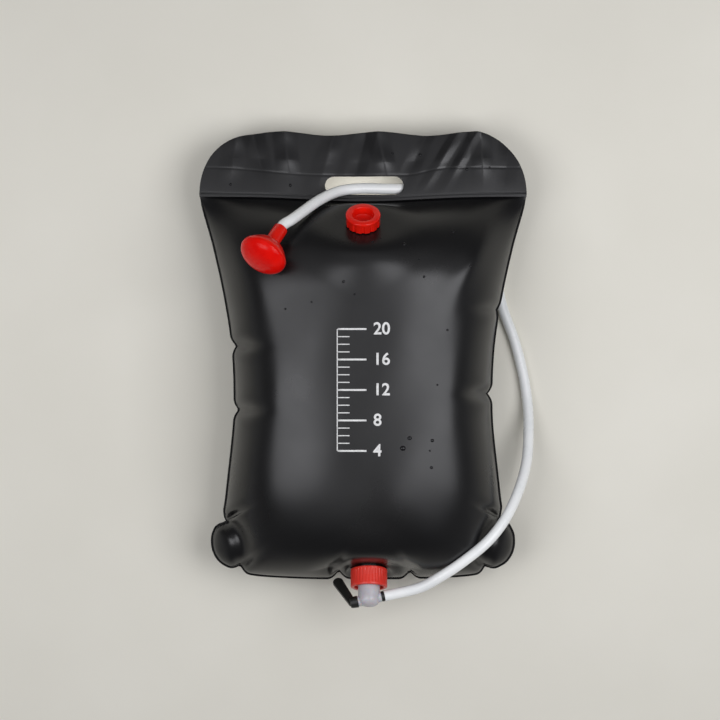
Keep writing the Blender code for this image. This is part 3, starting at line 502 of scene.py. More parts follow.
def under_hose(plan, height):
    """The film gives way where the hose lies on it."""
    line = np.array([point for point in hose_line if point.z > seam_height])
    away = np.linalg.norm(plan[:, None, :] - line[None, :, :2], axis=2)
    nearest = away.argmin(axis=1)
    away = away.min(axis=1)
    gap = hose_radius + hose_clearance
    limit = line[nearest, 2] - np.sqrt(np.clip(gap**2 - away**2, 0, None)) + 3 * np.clip(away - gap, 0, None)
    return (height + limit - np.hypot(height - limit, dent_softness)) / 2


def behind_nut(points):
    """The film keeps below the nut's rim and opens out from it to the foot seam like a cone."""
    along = np.array(outlet_out)
    apart = points - np.array(outlet_place)
    height = apart @ along
    reach = np.linalg.norm(apart - height[:, None] * along, axis=1)
    limit = nut_clearance + np.clip(reach - nut_reach, 0, None)
    return points - along * np.clip(height - limit, 0, None)[:, None]


def flattened(points, origin, along, hold):
    """The film lies flat against a neck's flange and eases back to its own curve around it."""
    along = np.array(along)
    apart = points - np.array(origin)
    height = apart @ along
    reach = np.linalg.norm(apart - height[:, None] * along, axis=1)
    share = np.clip(1 - (reach - patch_radius) / patch_fade, 0, 1)
    share = share**3 * (10 - 15 * share + 6 * share**2)
    return points - along * (height * share * hold)[:, None]


def grid_inside(ring, spacing):
    """Grid points inside a closed ring on plan, and the triangles that join them to it."""
    low, high = ring.min(axis=0), ring.max(axis=0)
    x, y = np.meshgrid(np.arange(low[0], high[0], spacing), np.arange(low[1], high[1], spacing))
    grid = np.stack([x.ravel(), y.ravel()], axis=1)
    inside = np.zeros(len(grid), bool)
    clear = np.full(len(grid), True)
    for (ax, ay), (bx, by) in zip(ring, np.roll(ring, -1, axis=0)):
        clear &= np.hypot(grid[:, 0] - ax, grid[:, 1] - ay) > 0.7 * spacing
        if ay != by:
            crossing = ax + (grid[:, 1] - ay) * (bx - ax) / (by - ay)
            inside ^= ((ay > grid[:, 1]) != (by > grid[:, 1])) & (grid[:, 0] < crossing)
    grid = grid[inside & clear]
    corners = [Vector(point) for point in np.concatenate([ring, grid])]
    _, _, faces, sources, _, _ = delaunay_2d_cdt(corners, [], [list(range(len(ring)))], 1, 1e-7)
    number_of = [source[0] for source in sources]
    return grid, [[number_of[corner] for corner in face] for face in faces]


def shell_mesh(name, rings, middle, faces_up):
    """Rings of the same count joined by quads, and a fine grid inside the last one."""
    count = len(rings[0])
    first = np.arange(count)
    after = (first + 1) % count
    quads = []
    for index in range(len(rings) - 1):
        low = index * count
        quads.append(np.stack([first + low, after + low, after + low + count, first + low + count], axis=1))
    grid, inner_faces = grid_inside(rings[-1][:, :2], mesh_spacing)
    start = (len(rings) - 1) * count
    faces = np.concatenate(quads).tolist()
    faces += [[corner + start for corner in face] for face in inner_faces]
    if not faces_up:
        faces = [face[::-1] for face in faces]
    points = np.concatenate([*rings, middle(grid)])
    mesh = bpy.data.meshes.new(name)
    mesh.from_pydata(points.tolist(), [], faces)
    mesh.update()
    for face in mesh.polygons:
        face.use_smooth = True
    return mesh


def bpy_select(made):
    bpy.ops.object.select_all(action="DESELECT")
    made.select_set(True)
    bpy.context.view_layer.objects.active = made


def apply_all(made):
    bpy_select(made)
    for modifier in list(made.modifiers):
        bpy.ops.object.modifier_apply(modifier=modifier.name)


def thicken(made, thickness, offset=-1.0):
    modifier = made.modifiers.new("thickness", "SOLIDIFY")
    modifier.thickness = thickness
    modifier.offset = offset
    apply_all(made)


def cylinder(radius, length, place, sides=48, **more):
    """A plain cylinder, the only piece that is selected."""
    bpy.ops.object.select_all(action="DESELECT")
    bpy.ops.mesh.primitive_cylinder_add(vertices=sides, radius=radius, depth=length, location=place, **more)
    return bpy.context.object


def carve(made, tool, operation="DIFFERENCE"):
    modifier = made.modifiers.new("carve", "BOOLEAN")
    modifier.operation = operation
    modifier.object = tool
    apply_all(made)
    bpy.data.objects.remove(tool)


def round_cut(made, place, along, radius, depth):
    """Cuts a plain round hole along an axis."""
    turned = along.to_track_quat("Z", "Y").to_euler()
    carve(made, cylinder(radius, depth, place, 64, rotation=turned))


film_finish = plastic(
    "black_pvc_film",
    (0.0034, 0.0034, 0.0040),
    (0.0062, 0.0060, 0.0062),
    0.30,
    drift=10.0,
    grain=900.0,
    depth=0.05,
    Specular_IOR_Level=0.42,
)
pillow = Pillow(mesh_spacing)
ring_shares = [math.sin(math.pi / 2 * (1 - index / 64)) for index in range(2, 51)]
edge = pillow.edge(seam_height + film_gap / 2 + film)
front_rings = [edge, pillow.front(1.0)] + [pillow.front(share) for share in ring_shares]
front_mesh = shell_mesh("front_film", front_rings, pillow.front_middle, True)
front_film = new_piece("front_film", front_mesh, film_finish)
thicken(front_film, film)
round_cut(front_film, filler_place, filler_out, neck_hole_radius, neck_hole_depth)
round_cut(front_film, outlet_place, outlet_out, neck_hole_radius, neck_hole_depth)
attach(front_film, "bag")
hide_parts("front_panel")

edge = pillow.edge(seam_height - film_gap / 2 - film)
back_rings = [edge, pillow.back(1.0)] + [pillow.back(share) for share in ring_shares]
back_mesh = shell_mesh("back_film", back_rings, pillow.back_middle, False)
back_film = new_piece("back_film", back_mesh, film_finish)
thicken(back_film, film)
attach(back_film, "bag")
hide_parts("back_panel")

# Handle flap: the same two sheets of film carried on above the weld, with large round corners and
# a long slot that the hand goes through. A flat strip between them stiffens the slot's edge.
header_corner = 0.0635
header_droop = 0.012
wave_height = 0.0024
wave_length = 0.119
wave_start = 0.018
slot_length = 0.096
slot_height = 0.0225
slot_lip = 0.0040
slot_offset = 0.0015
crease_place = 0.2448
crease_sag = 0.0092
crumples = (
    (-0.160, 0.15, 0.018, 0.0050),
    (-0.126, -0.25, 0.016, -0.0042),
    (-0.092, -0.10, 0.017, 0.0056),
    (-0.046, 0.30, 0.018, 0.0046),
    (-0.006, 0.25, 0.015, -0.0040),
    (0.026, -0.20, 0.016, 0.0054),
    (0.062, 0.45, 0.013, -0.0036),
    (0.094, 0.60, 0.011, 0.0044),
    (0.118, 0.55, 0.010, 0.0040),
    (0.146, -0.05, 0.015, 0.0050),
    (0.176, 0.10, 0.015, -0.0040),
)


def header_top(x):
    """Where the flap's top edge runs, with its large round corners and a slight wave."""
    straight = bag_width / 2 - header_corner
    into = np.clip(np.abs(x) - straight, 0, None) / header_corner
    rise = header_height * np.sqrt(np.clip(1 - into**2, 0, None))
    wave = wave_height * np.cos(2 * np.pi * (x - wave_start) / wave_length) * (1 - into)
    return weld_place + weld_width / 2 + rise + wave


def header_middle(x, y):
    """How high the flap lies: it droops outwards, with waves, sharp little folds and a pressed crease."""
    out = np.clip(y - weld_line(x) - weld_width / 2, 0, None) / header_height
    height = seam_height - header_droop * out**1.5
    height += wave_height * np.sin(2 * np.pi * x / wave_length) * out
    for place, lean, width, depth in crumples:
        away = np.abs(x - place - lean * (y - 0.250)) / width
        fold = np.sqrt(np.clip(1 - away, 0, 1) ** 2 + 0.012) - math.sqrt(0.012)
        height += depth * fold * np.clip(out * 1.7, 0, 1) ** 1.5 * (0.8 + 0.2 * np.sin(y * 160 + place * 900))
    dip = np.clip((x + 0.187) / 0.139, 0, 1) * np.clip((0.106 - x) / 0.056, 0, 1)
    crease = crease_place - crease_sag * dip**2 * (3 - 2 * dip)
    height -= 0.0004 * np.exp(-(((y - crease) / 0.0012) ** 2))
    weld_edge = (y - weld_line(x) - weld_width / 2) / 0.0007
    return height - 0.0006 * np.exp(-(weld_edge**2))


def header_mesh(name, lift, across, upward, width, top):
    """A sheet of the flap as wide as asked, from the weld up to a line."""
    side = np.sin(np.linspace(-np.pi / 2, np.pi / 2, across)) * width / 2
    share = np.linspace(0, 1, upward)
    x, share = np.meshgrid(side, share)
    low = weld_line(x) - weld_width / 2 + 3 * film
    y = low + (top(x) - low) * share
    z = header_middle(x, y) + lift
    points = np.stack([x, y, z], axis=-1).reshape(-1, 3)
    index = np.arange(across * upward).reshape(upward, across)
    quads = np.stack([index[:-1, :-1], index[:-1, 1:], index[1:, 1:], index[1:, :-1]], axis=-1).reshape(-1, 4)
    mesh = bpy.data.meshes.new(name)
    mesh.from_pydata(points.tolist(), [], quads.tolist())
    mesh.update()
    return mesh


def cut_slot(made):
    """Cuts the handle slot through a sheet, a little above the weld, and shades the sheet smooth."""
    middle = float(weld_line(0.0)) + weld_width / 2 + slot_lip + slot_height / 2
    cutter = cylinder(slot_height / 2, 0.05, (slot_offset, middle, seam_height), 64)
    for point in cutter.data.vertices:
        point.co.x += math.copysign((slot_length - slot_height) / 2, point.co.x)
    carve(made, cutter)
    for face in made.data.polygons:
        face.use_smooth = True


# The flap is the same film as the bag, but its colour is painted lighter than the bag's film: painted light
# that lifts the flap's tone.
flap_painted_lighter_finish = plastic(
    "black_pvc_flap_painted_lighter",
    (0.0070, 0.0070, 0.0078),
    (0.0130, 0.0128, 0.0134),
    0.35,
    drift=24.0,
    grain=900.0,
    depth=0.08,
    Specular_IOR_Level=0.48,
)
for name, node, lift, across, upward in (
    ("flap_front", "header_front", 1, 320, 100),
    ("flap_back", "header_back", -1, 220, 60),
):
    spread = lift * (film_gap * 1.5 + film * 1.5)
    flap = new_piece(name, header_mesh(name, spread, across, upward, bag_width, header_top), flap_painted_lighter_finish)
    thicken(flap, film, 0.0)
    cut_slot(flap)
    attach(flap, "bag")
    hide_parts(node)

# Stiffening strip: a flat polythene strip, sealed in between the two sheets of the flap. Its edge
# shows as a thin dark line in the slot.
strip_finish = plastic("black_polythene", (0.010, 0.010, 0.010), (0.016, 0.016, 0.015), 0.45)
strip_width = 0.330
strip_height = 0.036
strip_thickness = 0.001


def strip_top(x):
    return weld_line(x) - weld_width / 2 + 3 * film + strip_height


strip = new_piece("strip", header_mesh("strip", 0.0, 160, 24, strip_width, strip_top), strip_finish)
thicken(strip, strip_thickness, 0.0)
cut_slot(strip)
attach(strip, "bag")
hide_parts("handle_stiffener")

# Filling: the water that the full bag holds. It takes up nearly all the room between the two
# panels and shows nowhere.
def dress(node, finish):
    """Gives a solid that is right as it is its material."""
    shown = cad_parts[node]
    for place in shown.material_slots:
        place.material = finish


water_finish = plastic("water", (0.22, 0.38, 0.46), (0.28, 0.42, 0.50), 0.10, drift=20.0, depth=0.02)
dress("water_fill", water_finish)

# Filler neck and its washer: a moulded black neck with a wide flange welded under the front film,
# and a rubber ring that lies in the cap's groove.
neck_finish = plastic("black_moulding", (0.010, 0.010, 0.010), (0.016, 0.016, 0.015), 0.42)
washer_finish = plastic(
    "grey_rubber", (0.040, 0.040, 0.040), (0.060, 0.060, 0.060), 0.80, drift=300.0, depth=0.30
)
dress("filler_neck", neck_finish)
dress("filler_seal", washer_finish)


# Filler cap: a red polypropylene screw cap, moulded in one piece, with a deep round recess in its
# top and grip flutes round its skirt. It screws down over the neck.
def frame_at(place, along, sideways):
    """A place whose Z is along and whose X lies towards sideways."""
    z = Vector(along).normalized()
    x = Vector(sideways)
    x = (x - z * x.dot(z)).normalized()
    return Matrix.Translation(place) @ Matrix((x, z.cross(x), z)).transposed().to_4x4()


def settle(made, name, where, finish, bevel=0.0, smooth=38):
    """Rounds a modelled piece's edges, puts it in its place in the mesh and gives it its material."""
    made.name = name
    made.data.name = name
    bpy_select(made)
    if bevel:
        modifier = made.modifiers.new("edges", "BEVEL")
        modifier.width = bevel
        modifier.segments = 3
        modifier.limit_method = "ANGLE"
        modifier.angle_limit = math.radians(40)
        bpy.ops.object.modifier_apply(modifier="edges")
    made.matrix_world = where
    bpy.ops.object.transform_apply()
    bpy.ops.object.shade_smooth_by_angle(angle=math.radians(smooth))
    made.data.materials.clear()
    made.data.materials.append(finish)
    return made


def turned_piece(stations, steps=96, joined=False):
    """A ring carried from station to station of (radius, height), then closed."""
    radius, height = stations[0]
    bpy.ops.object.select_all(action="DESELECT")
    bpy.ops.mesh.primitive_circle_add(vertices=steps, radius=radius, location=(0, 0, height))
    made = bpy.context.object
    bpy.ops.object.transform_apply(location=True)
    bpy.ops.object.mode_set(mode="EDIT")
    bpy.ops.mesh.select_mode(type="EDGE")
    bpy.ops.mesh.select_all(action="SELECT")
    for following, level in stations[1:]:
        bpy.ops.mesh.extrude_region_move(TRANSFORM_OT_translate={"value": (0, 0, level - height)})
        growth = following / radius
        bpy.ops.transform.resize(value=(growth, growth, 1), center_override=(0, 0, level))
        radius, height = following, level
    bpy.ops.mesh.select_all(action="DESELECT")
    bpy.ops.mesh.select_non_manifold()
    if joined:
        bpy.ops.mesh.bridge_edge_loops()
    else:
        bpy.ops.mesh.fill_holes(sides=0)
    bpy.ops.mesh.select_all(action="SELECT")
    bpy.ops.mesh.normals_make_consistent(inside=False)
    bpy.ops.object.mode_set(mode="OBJECT")
    return made


def cylinder_at(where, radius, low, high):
    """A plain round tool along a place's Z."""
    tool = cylinder(radius, high - low, (0, 0, (low + high) / 2))
    tool.matrix_world = where @ tool.matrix_world
    bpy.ops.object.transform_apply()
    return tool


def join_all(pieces):
    """Joins several pieces to the first of them."""
    bpy.ops.object.select_all(action="DESELECT")
    for piece in pieces:
        piece.select_set(True)
    bpy.context.view_layer.objects.active = pieces[0]
    bpy.ops.object.join()
    return pieces[0]


def flute_tool(count, ring, radius, low, high, steps):
    """Round tools on a ring, modelled once, copied round and joined."""
    first = cylinder(radius, high - low, (ring, 0, (low + high) / 2), steps)
    bpy.ops.object.transform_apply(location=True)
    copies = [first]
    for index in range(1, count):
        copy = first.copy()
        copy.data = first.data.copy()
        bpy.context.scene.collection.objects.link(copy)
        copy.data.transform(Matrix.Rotation(2 * math.pi * index / count, 4, "Z"))
        copies.append(copy)
    return join_all(copies)


cap_finish = plastic(
    "red_polypropylene", (0.700, 0.0070, 0.0026), (0.800, 0.0130, 0.0046), 0.20, Specular_IOR_Level=0.34
)
cap = turned_piece(
    [
        (0.0005, 0.0041),
        (0.0115, 0.0040),
        (0.01285, 0.0050),
        (0.01285, 0.0146),
        (0.01375, 0.0155),
        (0.01900, 0.0155),
        (0.02030, 0.0151),
        (0.02075, 0.0141),
        (0.02075, 0.0127),
        (0.02055, 0.0123),
        (0.02055, 0.0024),
        (0.02020, 0.0012),
        (0.01730, 0.0012),
        (0.01730, 0.0129),
        (0.01470, 0.0129),
        (0.01470, 0.0025),
        (0.0005, 0.0025),
    ],
    steps=144,
)
carve(cap, flute_tool(12, 0.0212, 0.0023, -0.001, 0.0119, 20))
settle(cap, "screw_cap", frame_at(filler_place, filler_out, (1, 0, 0)), cap_finish, 0.00025)
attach(cap, "cap")
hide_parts("filler_cap")

# Outlet neck, its washer and slip ring: the neck is welded under the film at the foot, the washer
# seals the tap's flange to it, and the white ring lets the nut turn on that flange.
dress("outlet_neck", neck_finish)
dress("outlet_seal", washer_finish)
tap_finish = plastic(
    "milky_polypropylene",
    (0.43, 0.42, 0.45),
    (0.55, 0.54, 0.57),
    0.32,
    Subsurface_Weight=0.30,
    Subsurface_Scale=0.006,
)
dress("nut_slip_ring", tap_finish)

# Outlet nut: a red polypropylene nut, moulded with fine straight grip grooves round its
# skirt. It screws on the outlet neck and holds the tap's flange by its inner lip.
nut_radius = 0.02215
nut_grooves = 32
groove_depth = 0.0006
groove_low = 0.0050
groove_high = 0.0214
nut = turned_piece(
    [
        (0.01785, 0.0205),
        (0.01785, 0.0240),
        (0.01830, 0.0245),
        (0.02110, 0.0245),
        (0.02190, 0.0241),
        (nut_radius, 0.0232),
        (nut_radius, 0.0218),
        (nut_radius, 0.0212),
        (nut_radius, 0.0052),
        (nut_radius, 0.0046),
        (nut_radius, 0.0030),
        (0.02115, 0.0020),
        (0.01730, 0.0020),
        (0.01730, 0.0192),
        (0.01380, 0.0192),
        (0.01380, 0.0205),
    ],
    steps=6 * nut_grooves,
    joined=True,
)
for point in nut.data.vertices:
    turn = math.atan2(point.co.y, point.co.x) / (2 * math.pi) * nut_grooves
    on_skirt = groove_low < point.co.z < groove_high and point.co.xy.length > nut_radius - 0.0001
    if on_skirt and abs(turn - round(turn)) < 0.05:
        point.co.xy *= 1 - groove_depth / nut_radius
# The nut's colour is painted more orange than the red of the cap: a painted sheen for the soft highlight
# across its front.
nut_painted_sheen_finish = plastic(
    "red_polypropylene_painted_sheen", (0.660, 0.030, 0.018), (0.740, 0.042, 0.026), 0.30, Specular_IOR_Level=0.42
)
settle(nut, "ribbed_nut", frame_at(outlet_place, outlet_out, (1, 0, 0)), nut_painted_sheen_finish)
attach(nut, "nut")
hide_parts("outlet_nut")

# Tap body: a milky white moulding, a barrel with a domed end, a boss across it for the plug and a
# spigot for the hose.
barrel_radius = 0.0132
barrel_bore = 0.0050
barrel_end = 0.0481
dome_height = 0.0105
flange_radius = 0.0167
boss_radius = 0.0063
plug_bore_radius = 0.0048
spigot_radius = 0.0038
spigot_bore = 0.0024
outlet_frame = frame_at(outlet_place, outlet_out, (1, 0, 0))
cross_frame = frame_at(cross_place, cross_out, -outlet_out)
dome = []
for index in range(1, 13):
    angle = math.pi / 2 * index / 12
    height = barrel_end - dome_height * (1 - math.cos(angle) ** 0.8)
    dome.append((barrel_radius * math.sin(angle) ** 0.8, height))
barrel = turned_piece(
    [
        (barrel_bore, 0.0340),
        (barrel_bore, 0.0156),
        (flange_radius, 0.0156),
        (flange_radius, 0.0176),
        (barrel_radius, 0.0178),
        *dome[::-1],
        (0.0006, barrel_end),
    ]
)
settle(barrel, "tap_barrel", outlet_frame, tap_finish)
boss_edge = boss_radius - 0.0006
boss = turned_piece(
    [(boss_edge, -0.0152), (boss_radius, -0.0146), (boss_radius, 0.0146), (boss_edge, 0.0152)], 64
)
settle(boss, "boss", cross_frame, tap_finish)
carve(barrel, boss, "UNION")
carve(barrel, cylinder_at(cross_frame, spigot_radius, 0.0, 0.0310), "UNION")
carve(barrel, cylinder_at(cross_frame, plug_bore_radius, -0.0172, 0.0103))
carve(barrel, cylinder_at(cross_frame, spigot_bore, 0.0, 0.0330))
bpy_select(barrel)
bpy.ops.object.shade_smooth_by_angle(angle=math.radians(38))
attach(barrel, "bag")
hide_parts("tap_body")

# Tap spindle and its ring seal: a hollow black plug with a rubber ring round it. It turns in the
# boss and opens or shuts the way from the barrel to the spigot.
dress("tap_spindle", neck_finish)
dress("tap_oring", washer_finish)

# Tap lever: a flat black nylon arm with round ends, moulded with a hub that is pushed on the
# spindle's end and reaches over the boss like a sleeve.
lever_turn = math.radians(28)
lever_lean = math.radians(17)
lever_root = 0.0046
lever_tip = 0.0063
lever_length = 0.0368
lever_thickness = 0.0052
stub_radius = 0.0031
lever_finish = plastic("black_nylon", (0.0065, 0.0065, 0.0060), (0.0120, 0.0120, 0.0105), 0.44, depth=0.2)
hub = turned_piece(
    [
        (stub_radius, -0.0225),
        (stub_radius, -0.0155),
        (0.0066, -0.0155),
        (0.0066, -0.0139),
        (0.0069, -0.0137),
        (0.0072, -0.0140),
        (0.0068, -0.0200),
        (0.0060, -0.0226),
        (0.0050, -0.0232),
    ],
    64,
)
lever_frame = cross_frame @ Matrix.Rotation(-lever_turn, 4, "Z")
settle(hub, "lever_hub", lever_frame, lever_finish)
arm = cylinder(lever_root, lever_thickness, (0, 0, 0))
bpy.ops.object.mode_set(mode="EDIT")
bpy.ops.mesh.select_mode(type="VERT")
bpy.ops.mesh.select_all(action="DESELECT")
bpy.ops.object.mode_set(mode="OBJECT")
for point in arm.data.vertices:
    point.select = point.co.x > 0.00001
bpy.ops.object.mode_set(mode="EDIT")
growth = lever_tip / lever_root
bpy.ops.transform.resize(value=(growth, growth, 1), center_override=(0, 0, 0))
bpy.ops.transform.translate(value=(lever_length, 0, 0))
bpy.ops.object.mode_set(mode="OBJECT")
arm_frame = (
    lever_frame
    @ Matrix.Translation((0, 0, -0.0207))
    @ Matrix.Rotation(lever_lean, 4, "Y")
    @ Matrix.Rotation(math.pi / 2, 4, "X")
)
settle(arm, "lever", arm_frame, lever_finish, 0.0009)
carve(arm, hub, "UNION")
carve(arm, cylinder_at(lever_frame, stub_radius, -0.0225, -0.0140))
bpy_select(arm)
bpy.ops.object.shade_smooth_by_angle(angle=math.radians(38))
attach(arm, "tap_rotor")
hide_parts("tap_lever")

# Hose collar: a black ring of the lever's nylon, pushed on the spigot. The hose's end butts
# against it.
collar = turned_piece(
    [
        (0.0045, 0.0155),
        (0.0058, 0.0155),
        (0.0063, 0.0160),
        (0.0063, 0.0185),
        (0.0058, 0.0190),
        (0.0045, 0.0190),
    ],
    64,
    joined=True,
)
settle(collar, "collar", cross_frame, lever_finish)
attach(collar, "bag")
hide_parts("hose_collar")

# Shower rose: a red moulding with a neck that the hose is pushed into and a bell that widens to a
# rim. A domed face with fine spray holes is pressed into the rim.
rose_radius = 0.0290
rose_neck_radius = 0.00875
rose_neck_length = 0.0240
rose_wall = 0.0018
rose_rim = 0.0450
rose_dome = 0.0138
face_seat = 0.0453
spray_ring_spacing = 0.0085
spray_hole_radius = 0.00055
rose_frame = frame_at(rose_place, rose_out, (0, 0, 1))
bell = []
hollow = []
for index in range(17):
    share = 1 - index / 16
    radius = rose_neck_radius + 0.01905 * share
    height = rose_neck_length + 0.01668 * share**1.7
    bell.append((radius, height))
    if 0 < share < 1:
        hollow.append((radius - rose_wall, height + rose_wall))
rose_stations = [(rose_radius, rose_rim), (rose_radius, 0.0425), (0.0284, 0.0414), *bell]
rose_stations += [(rose_neck_radius, 0.0012), (0.00835, 0.0002), (0.0079, 0.0), (0.0068, 0.0)]
rose_stations += [(0.0068, 0.0160), (0.0045, 0.0160), (0.0045, 0.0258), *hollow[::-1]]
rose_stations += [(0.0260, 0.0423), (0.0272, 0.0423), (0.0272, rose_rim)]
rose_bell = turned_piece(rose_stations, joined=True)
settle(rose_bell, "rose_bell", rose_frame, cap_finish)
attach(rose_bell, "bag")
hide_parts("rose_body")
outside = []
inside = []
for index in range(1, 20):
    share = math.sin(math.pi / 2 * index / 20)
    height = face_seat + rose_dome * (1 - share**2.4) ** 0.6
    outside.append((rose_radius * share, height))
    inside.append((0.0236 * share, height - rose_wall * (1 + share / 2)))
face_top = face_seat + rose_dome
face_stations = [(0.0006, face_top), *outside, (rose_radius, face_seat), (0.0269, face_seat)]
face_stations += [(0.0269, 0.0426), (0.0251, 0.0426), *inside[::-1], (0.0006, face_top - rose_wall)]
rose_disc = turned_piece(face_stations)
for ring in range(3):
    count = max(1, 6 * ring)
    tool = flute_tool(count, spray_ring_spacing * ring, spray_hole_radius, 0.040, 0.062, 10)
    carve(rose_disc, tool)
# The face's red is painted deeper than the bell's: painted shade for the face, which turns away from the
# light.
face_painted_shade_finish = plastic(
    "red_polypropylene_painted_shade", (0.700, 0.0036, 0.0024), (0.800, 0.0070, 0.0034), 0.17, Specular_IOR_Level=0.12
)
settle(rose_disc, "rose_disc", rose_frame, face_painted_shade_finish)
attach(rose_disc, "bag")
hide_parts("rose_face")

# Fill scale: plain ticks and numbers, screen printed in white on the front film. They are laid
# down on the film from above, so they bend with it.
scale_foot = -0.098
scale_step = 0.0090
scale_edge = -0.030
long_tick = 0.034
short_tick = 0.014
thin_line = 0.0012
thick_line = 0.0022
number_place = 0.012
number_size = 0.0200
ink_lift = 0.00025
ink_thickness = 0.00015
print_finish = plastic("white_ink", (0.62, 0.62, 0.61), (0.84, 0.84, 0.83), 0.50, drift=420.0, depth=0.05)


def plate(x, y, width, height):
    """A flat bar of ink."""
    bpy.ops.object.select_all(action="DESELECT")
    bpy.ops.mesh.primitive_plane_add(size=1, location=(x, y, 0.3))
    made = bpy.context.object
    made.scale = (width, height, 1)
    return made


def number(words, x, y, size):
    bpy.ops.object.select_all(action="DESELECT")
    bpy.ops.object.text_add(location=(x, y, 0.3))
    made = bpy.context.object
    made.data.body = words
    made.data.size = size
    made.data.align_y = "CENTER"
    made.data.offset = 0.0004
    bpy.ops.object.convert(target="MESH")
    return bpy.context.object


marks = []
for step in range(17):
    level = scale_foot + step * scale_step
    if step % 4 == 0:
        marks.append(plate(scale_edge + long_tick / 2, level, long_tick, thick_line))
        marks.append(number(str(4 + step), number_place, level, number_size))
    else:
        marks.append(plate(scale_edge + short_tick / 2, level, short_tick, thin_line))
    if step < 16:
        marks.append(plate(scale_edge - thin_line / 2, level + scale_step / 2, thin_line, scale_step))
fill_scale = join_all(marks)
bpy.ops.object.transform_apply()
bpy.ops.object.mode_set(mode="EDIT")
bpy.ops.mesh.select_all(action="SELECT")
bpy.ops.mesh.quads_convert_to_tris()
bpy.ops.mesh.subdivide(number_cuts=5)
bpy.ops.object.mode_set(mode="OBJECT")
drop = fill_scale.modifiers.new("drop", "SHRINKWRAP")
drop.target = front_film
drop.wrap_method = "PROJECT"
drop.use_project_z = True
drop.use_positive_direction = False
drop.use_negative_direction = True
drop.offset = ink_lift
bpy.ops.object.modifier_apply(modifier="drop")
settle(fill_scale, "fill_scale", Matrix.Identity(4), print_finish)
thicken(fill_scale, ink_thickness)
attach(fill_scale, "bag")

# Water drops: a few beads left on the film and the flap after filling. A flattened ball is
# made at each place, laid square to the film there and joined with the others. The
# wet film under a bead is black, so the bead shows as a dark spot with a small bright light in it.
drop_finish = plastic(
    "wet_bead", (0.006, 0.006, 0.007), (0.012, 0.012, 0.013), 0.05, drift=200.0, depth=0.02, IOR=1.33
)
drop_places = (
    (0.049, 0.147, 0.0017),
    (0.108, 0.163, 0.0016),
    (0.128, 0.121, 0.0013),
    (0.047, -0.095, 0.0026),
    (0.055, -0.083, 0.0020),
    (0.082, -0.086, 0.0017),
    (0.081, -0.118, 0.0015),
    (0.079, -0.098, 0.0010),
    (0.011, 0.150, 0.0014),
    (0.021, 0.154, 0.0011),
    (-0.023, 0.102, 0.0014),
    (-0.010, 0.087, 0.0011),
    (-0.061, 0.078, 0.0010),
    (-0.092, 0.070, 0.0011),
    (0.072, 0.108, 0.0013),
    (0.066, 0.128, 0.0010),
    (0.100, 0.045, 0.0012),
    (0.088, -0.020, 0.0010),
    (-0.162, 0.224, 0.0014),
    (-0.089, 0.223, 0.0015),
    (0.036, 0.262, 0.0013),
    (0.070, 0.261, 0.0016),
    (0.127, 0.243, 0.0014),
    (0.155, 0.245, 0.0011),
)
flap_front = bpy.data.objects["flap_front"]
beads = []
for x, y, size in drop_places:
    target = flap_front if y > 0.216 else front_film
    _, place, normal, _ = target.ray_cast(Vector((x, y, 0.4)), Vector((0, 0, -1)))
    bpy.ops.object.select_all(action="DESELECT")
    bpy.ops.mesh.primitive_uv_sphere_add(segments=20, ring_count=12, radius=size * 1.2)
    bead = bpy.context.object
    bead.matrix_world = (
        Matrix.Translation(place - normal * size * 0.10)
        @ normal.to_track_quat("Z", "Y").to_matrix().to_4x4()
        @ Matrix.Diagonal((1, 1.12, 0.65, 1))
    )
    bpy.ops.object.transform_apply()
    beads.append(bead)
join_all(beads)
settle(beads[0], "water_drops", Matrix.Identity(4), drop_finish, smooth=180)
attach(beads[0], "bag")

# Floor and light: a plain warm pale floor, whose colour is painted darker towards the foot as painted
# shade, a large soft box on either side and a dim soft ceiling. A small lamp under the flap lights
# the floor that shows through the slot.
floor_finish = plastic(
    "floor", (0.800, 0.776, 0.688), (0.840, 0.816, 0.728), 0.9, drift=4.0, grain=300.0, depth=0.3
)
tree = floor_finish.node_tree
place = tree.nodes.new("ShaderNodeTexCoord")
split = tree.nodes.new("ShaderNodeSeparateXYZ")
tree.links.new(place.outputs["Object"], split.inputs["Vector"])
# Painted shade: the floor's colour is scaled from 0.87 at the foot up to 1.0 towards the flap, for light that
# falls off towards the foot.
painted_shade_falloff = range_node(tree, split.outputs["Y"], -0.45, 0.25, 0.87, 1.0)
shade = tree.nodes.new("ShaderNodeVectorMath")
shade.operation = "SCALE"
colour = tree.nodes["Principled BSDF"].inputs["Base Color"].links[0].from_socket
tree.links.new(colour, shade.inputs["Vector"])
tree.links.new(painted_shade_falloff, shade.inputs["Scale"])
tree.links.new(shade.outputs["Vector"], tree.nodes["Principled BSDF"].inputs["Base Color"])
bpy.ops.object.select_all(action="DESELECT")
bpy.ops.mesh.primitive_plane_add(size=8.0, location=(0, 0, 0))
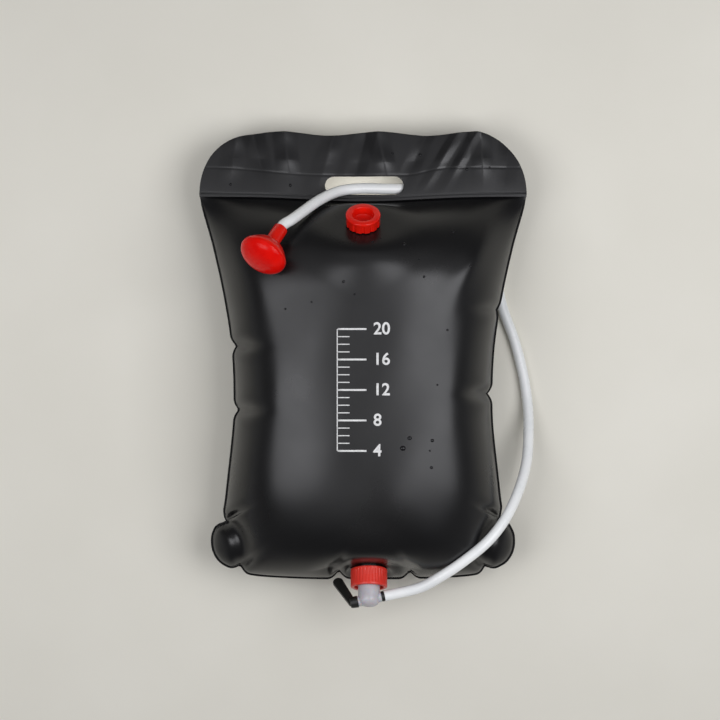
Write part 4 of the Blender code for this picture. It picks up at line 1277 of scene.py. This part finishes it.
floor = bpy.context.object
floor.name = "floor"
floor.data.materials.append(floor_finish)
world = bpy.data.worlds.new("room")
world.use_nodes = True
tree = world.node_tree
direction = tree.nodes.new("ShaderNodeTexCoord")
split = tree.nodes.new("ShaderNodeSeparateXYZ")
tree.links.new(direction.outputs["Generated"], split.inputs["Vector"])
sky = tree.nodes.new("ShaderNodeValToRGB")
sky_lean = 0.16
sky_ends = 0.35
sky_greys = ((0.0, 0.58), (0.18, 0.28), (0.40, 0.12), (0.86, 0.12), (0.975, 0.52))
for index, (place, grey) in enumerate(sky_greys):
    if index > 1:
        sky.color_ramp.elements.new(place)
    sky.color_ramp.elements[index].position = place
    sky.color_ramp.elements[index].color = (grey, grey, grey * 1.03, 1)
along = split.outputs["Y"]
leaned = math_node(tree, "MULTIPLY_ADD", along, sky_lean, split.outputs["Z"])
spread = math_node(tree, "MULTIPLY", along, along)
tree.links.new(math_node(tree, "MULTIPLY_ADD", spread, sky_ends, leaned), sky.inputs["Fac"])
tree.links.new(sky.outputs["Color"], tree.nodes["Background"].inputs["Color"])
bpy.context.scene.world = world


def lamp(name, place, aim, size, power, colour):
    """A flat rectangular lamp at a place, aimed at another."""
    data = bpy.data.lights.new(name, "AREA")
    data.shape = "RECTANGLE"
    data.size, data.size_y = size
    data.energy = power
    data.color = colour
    made = bpy.data.objects.new(name, data)
    bpy.context.scene.collection.objects.link(made)
    made.location = place
    made.rotation_euler = (Vector(aim) - Vector(place)).to_track_quat("-Z", "Y").to_euler()


box_colour = (0.96, 0.965, 1.0)
slot_colour = (1.0, 0.98, 0.95)
lamp("left_box", (-0.86, -0.25, 1.70), (0, -0.25, 0.05), (0.94, 1.15), 12.2, box_colour)
lamp("right_box", (0.95, -0.085, 1.70), (0, -0.085, 0.05), (1.27, 1.20), 19, box_colour)
lamp("slot_lamp", (-0.0100, 0.225, 0.045), (-0.0100, 0.225, 0), (0.10, 0.03), 0.024, slot_colour)

bpy.context.scene.view_settings.view_transform = "Standard"
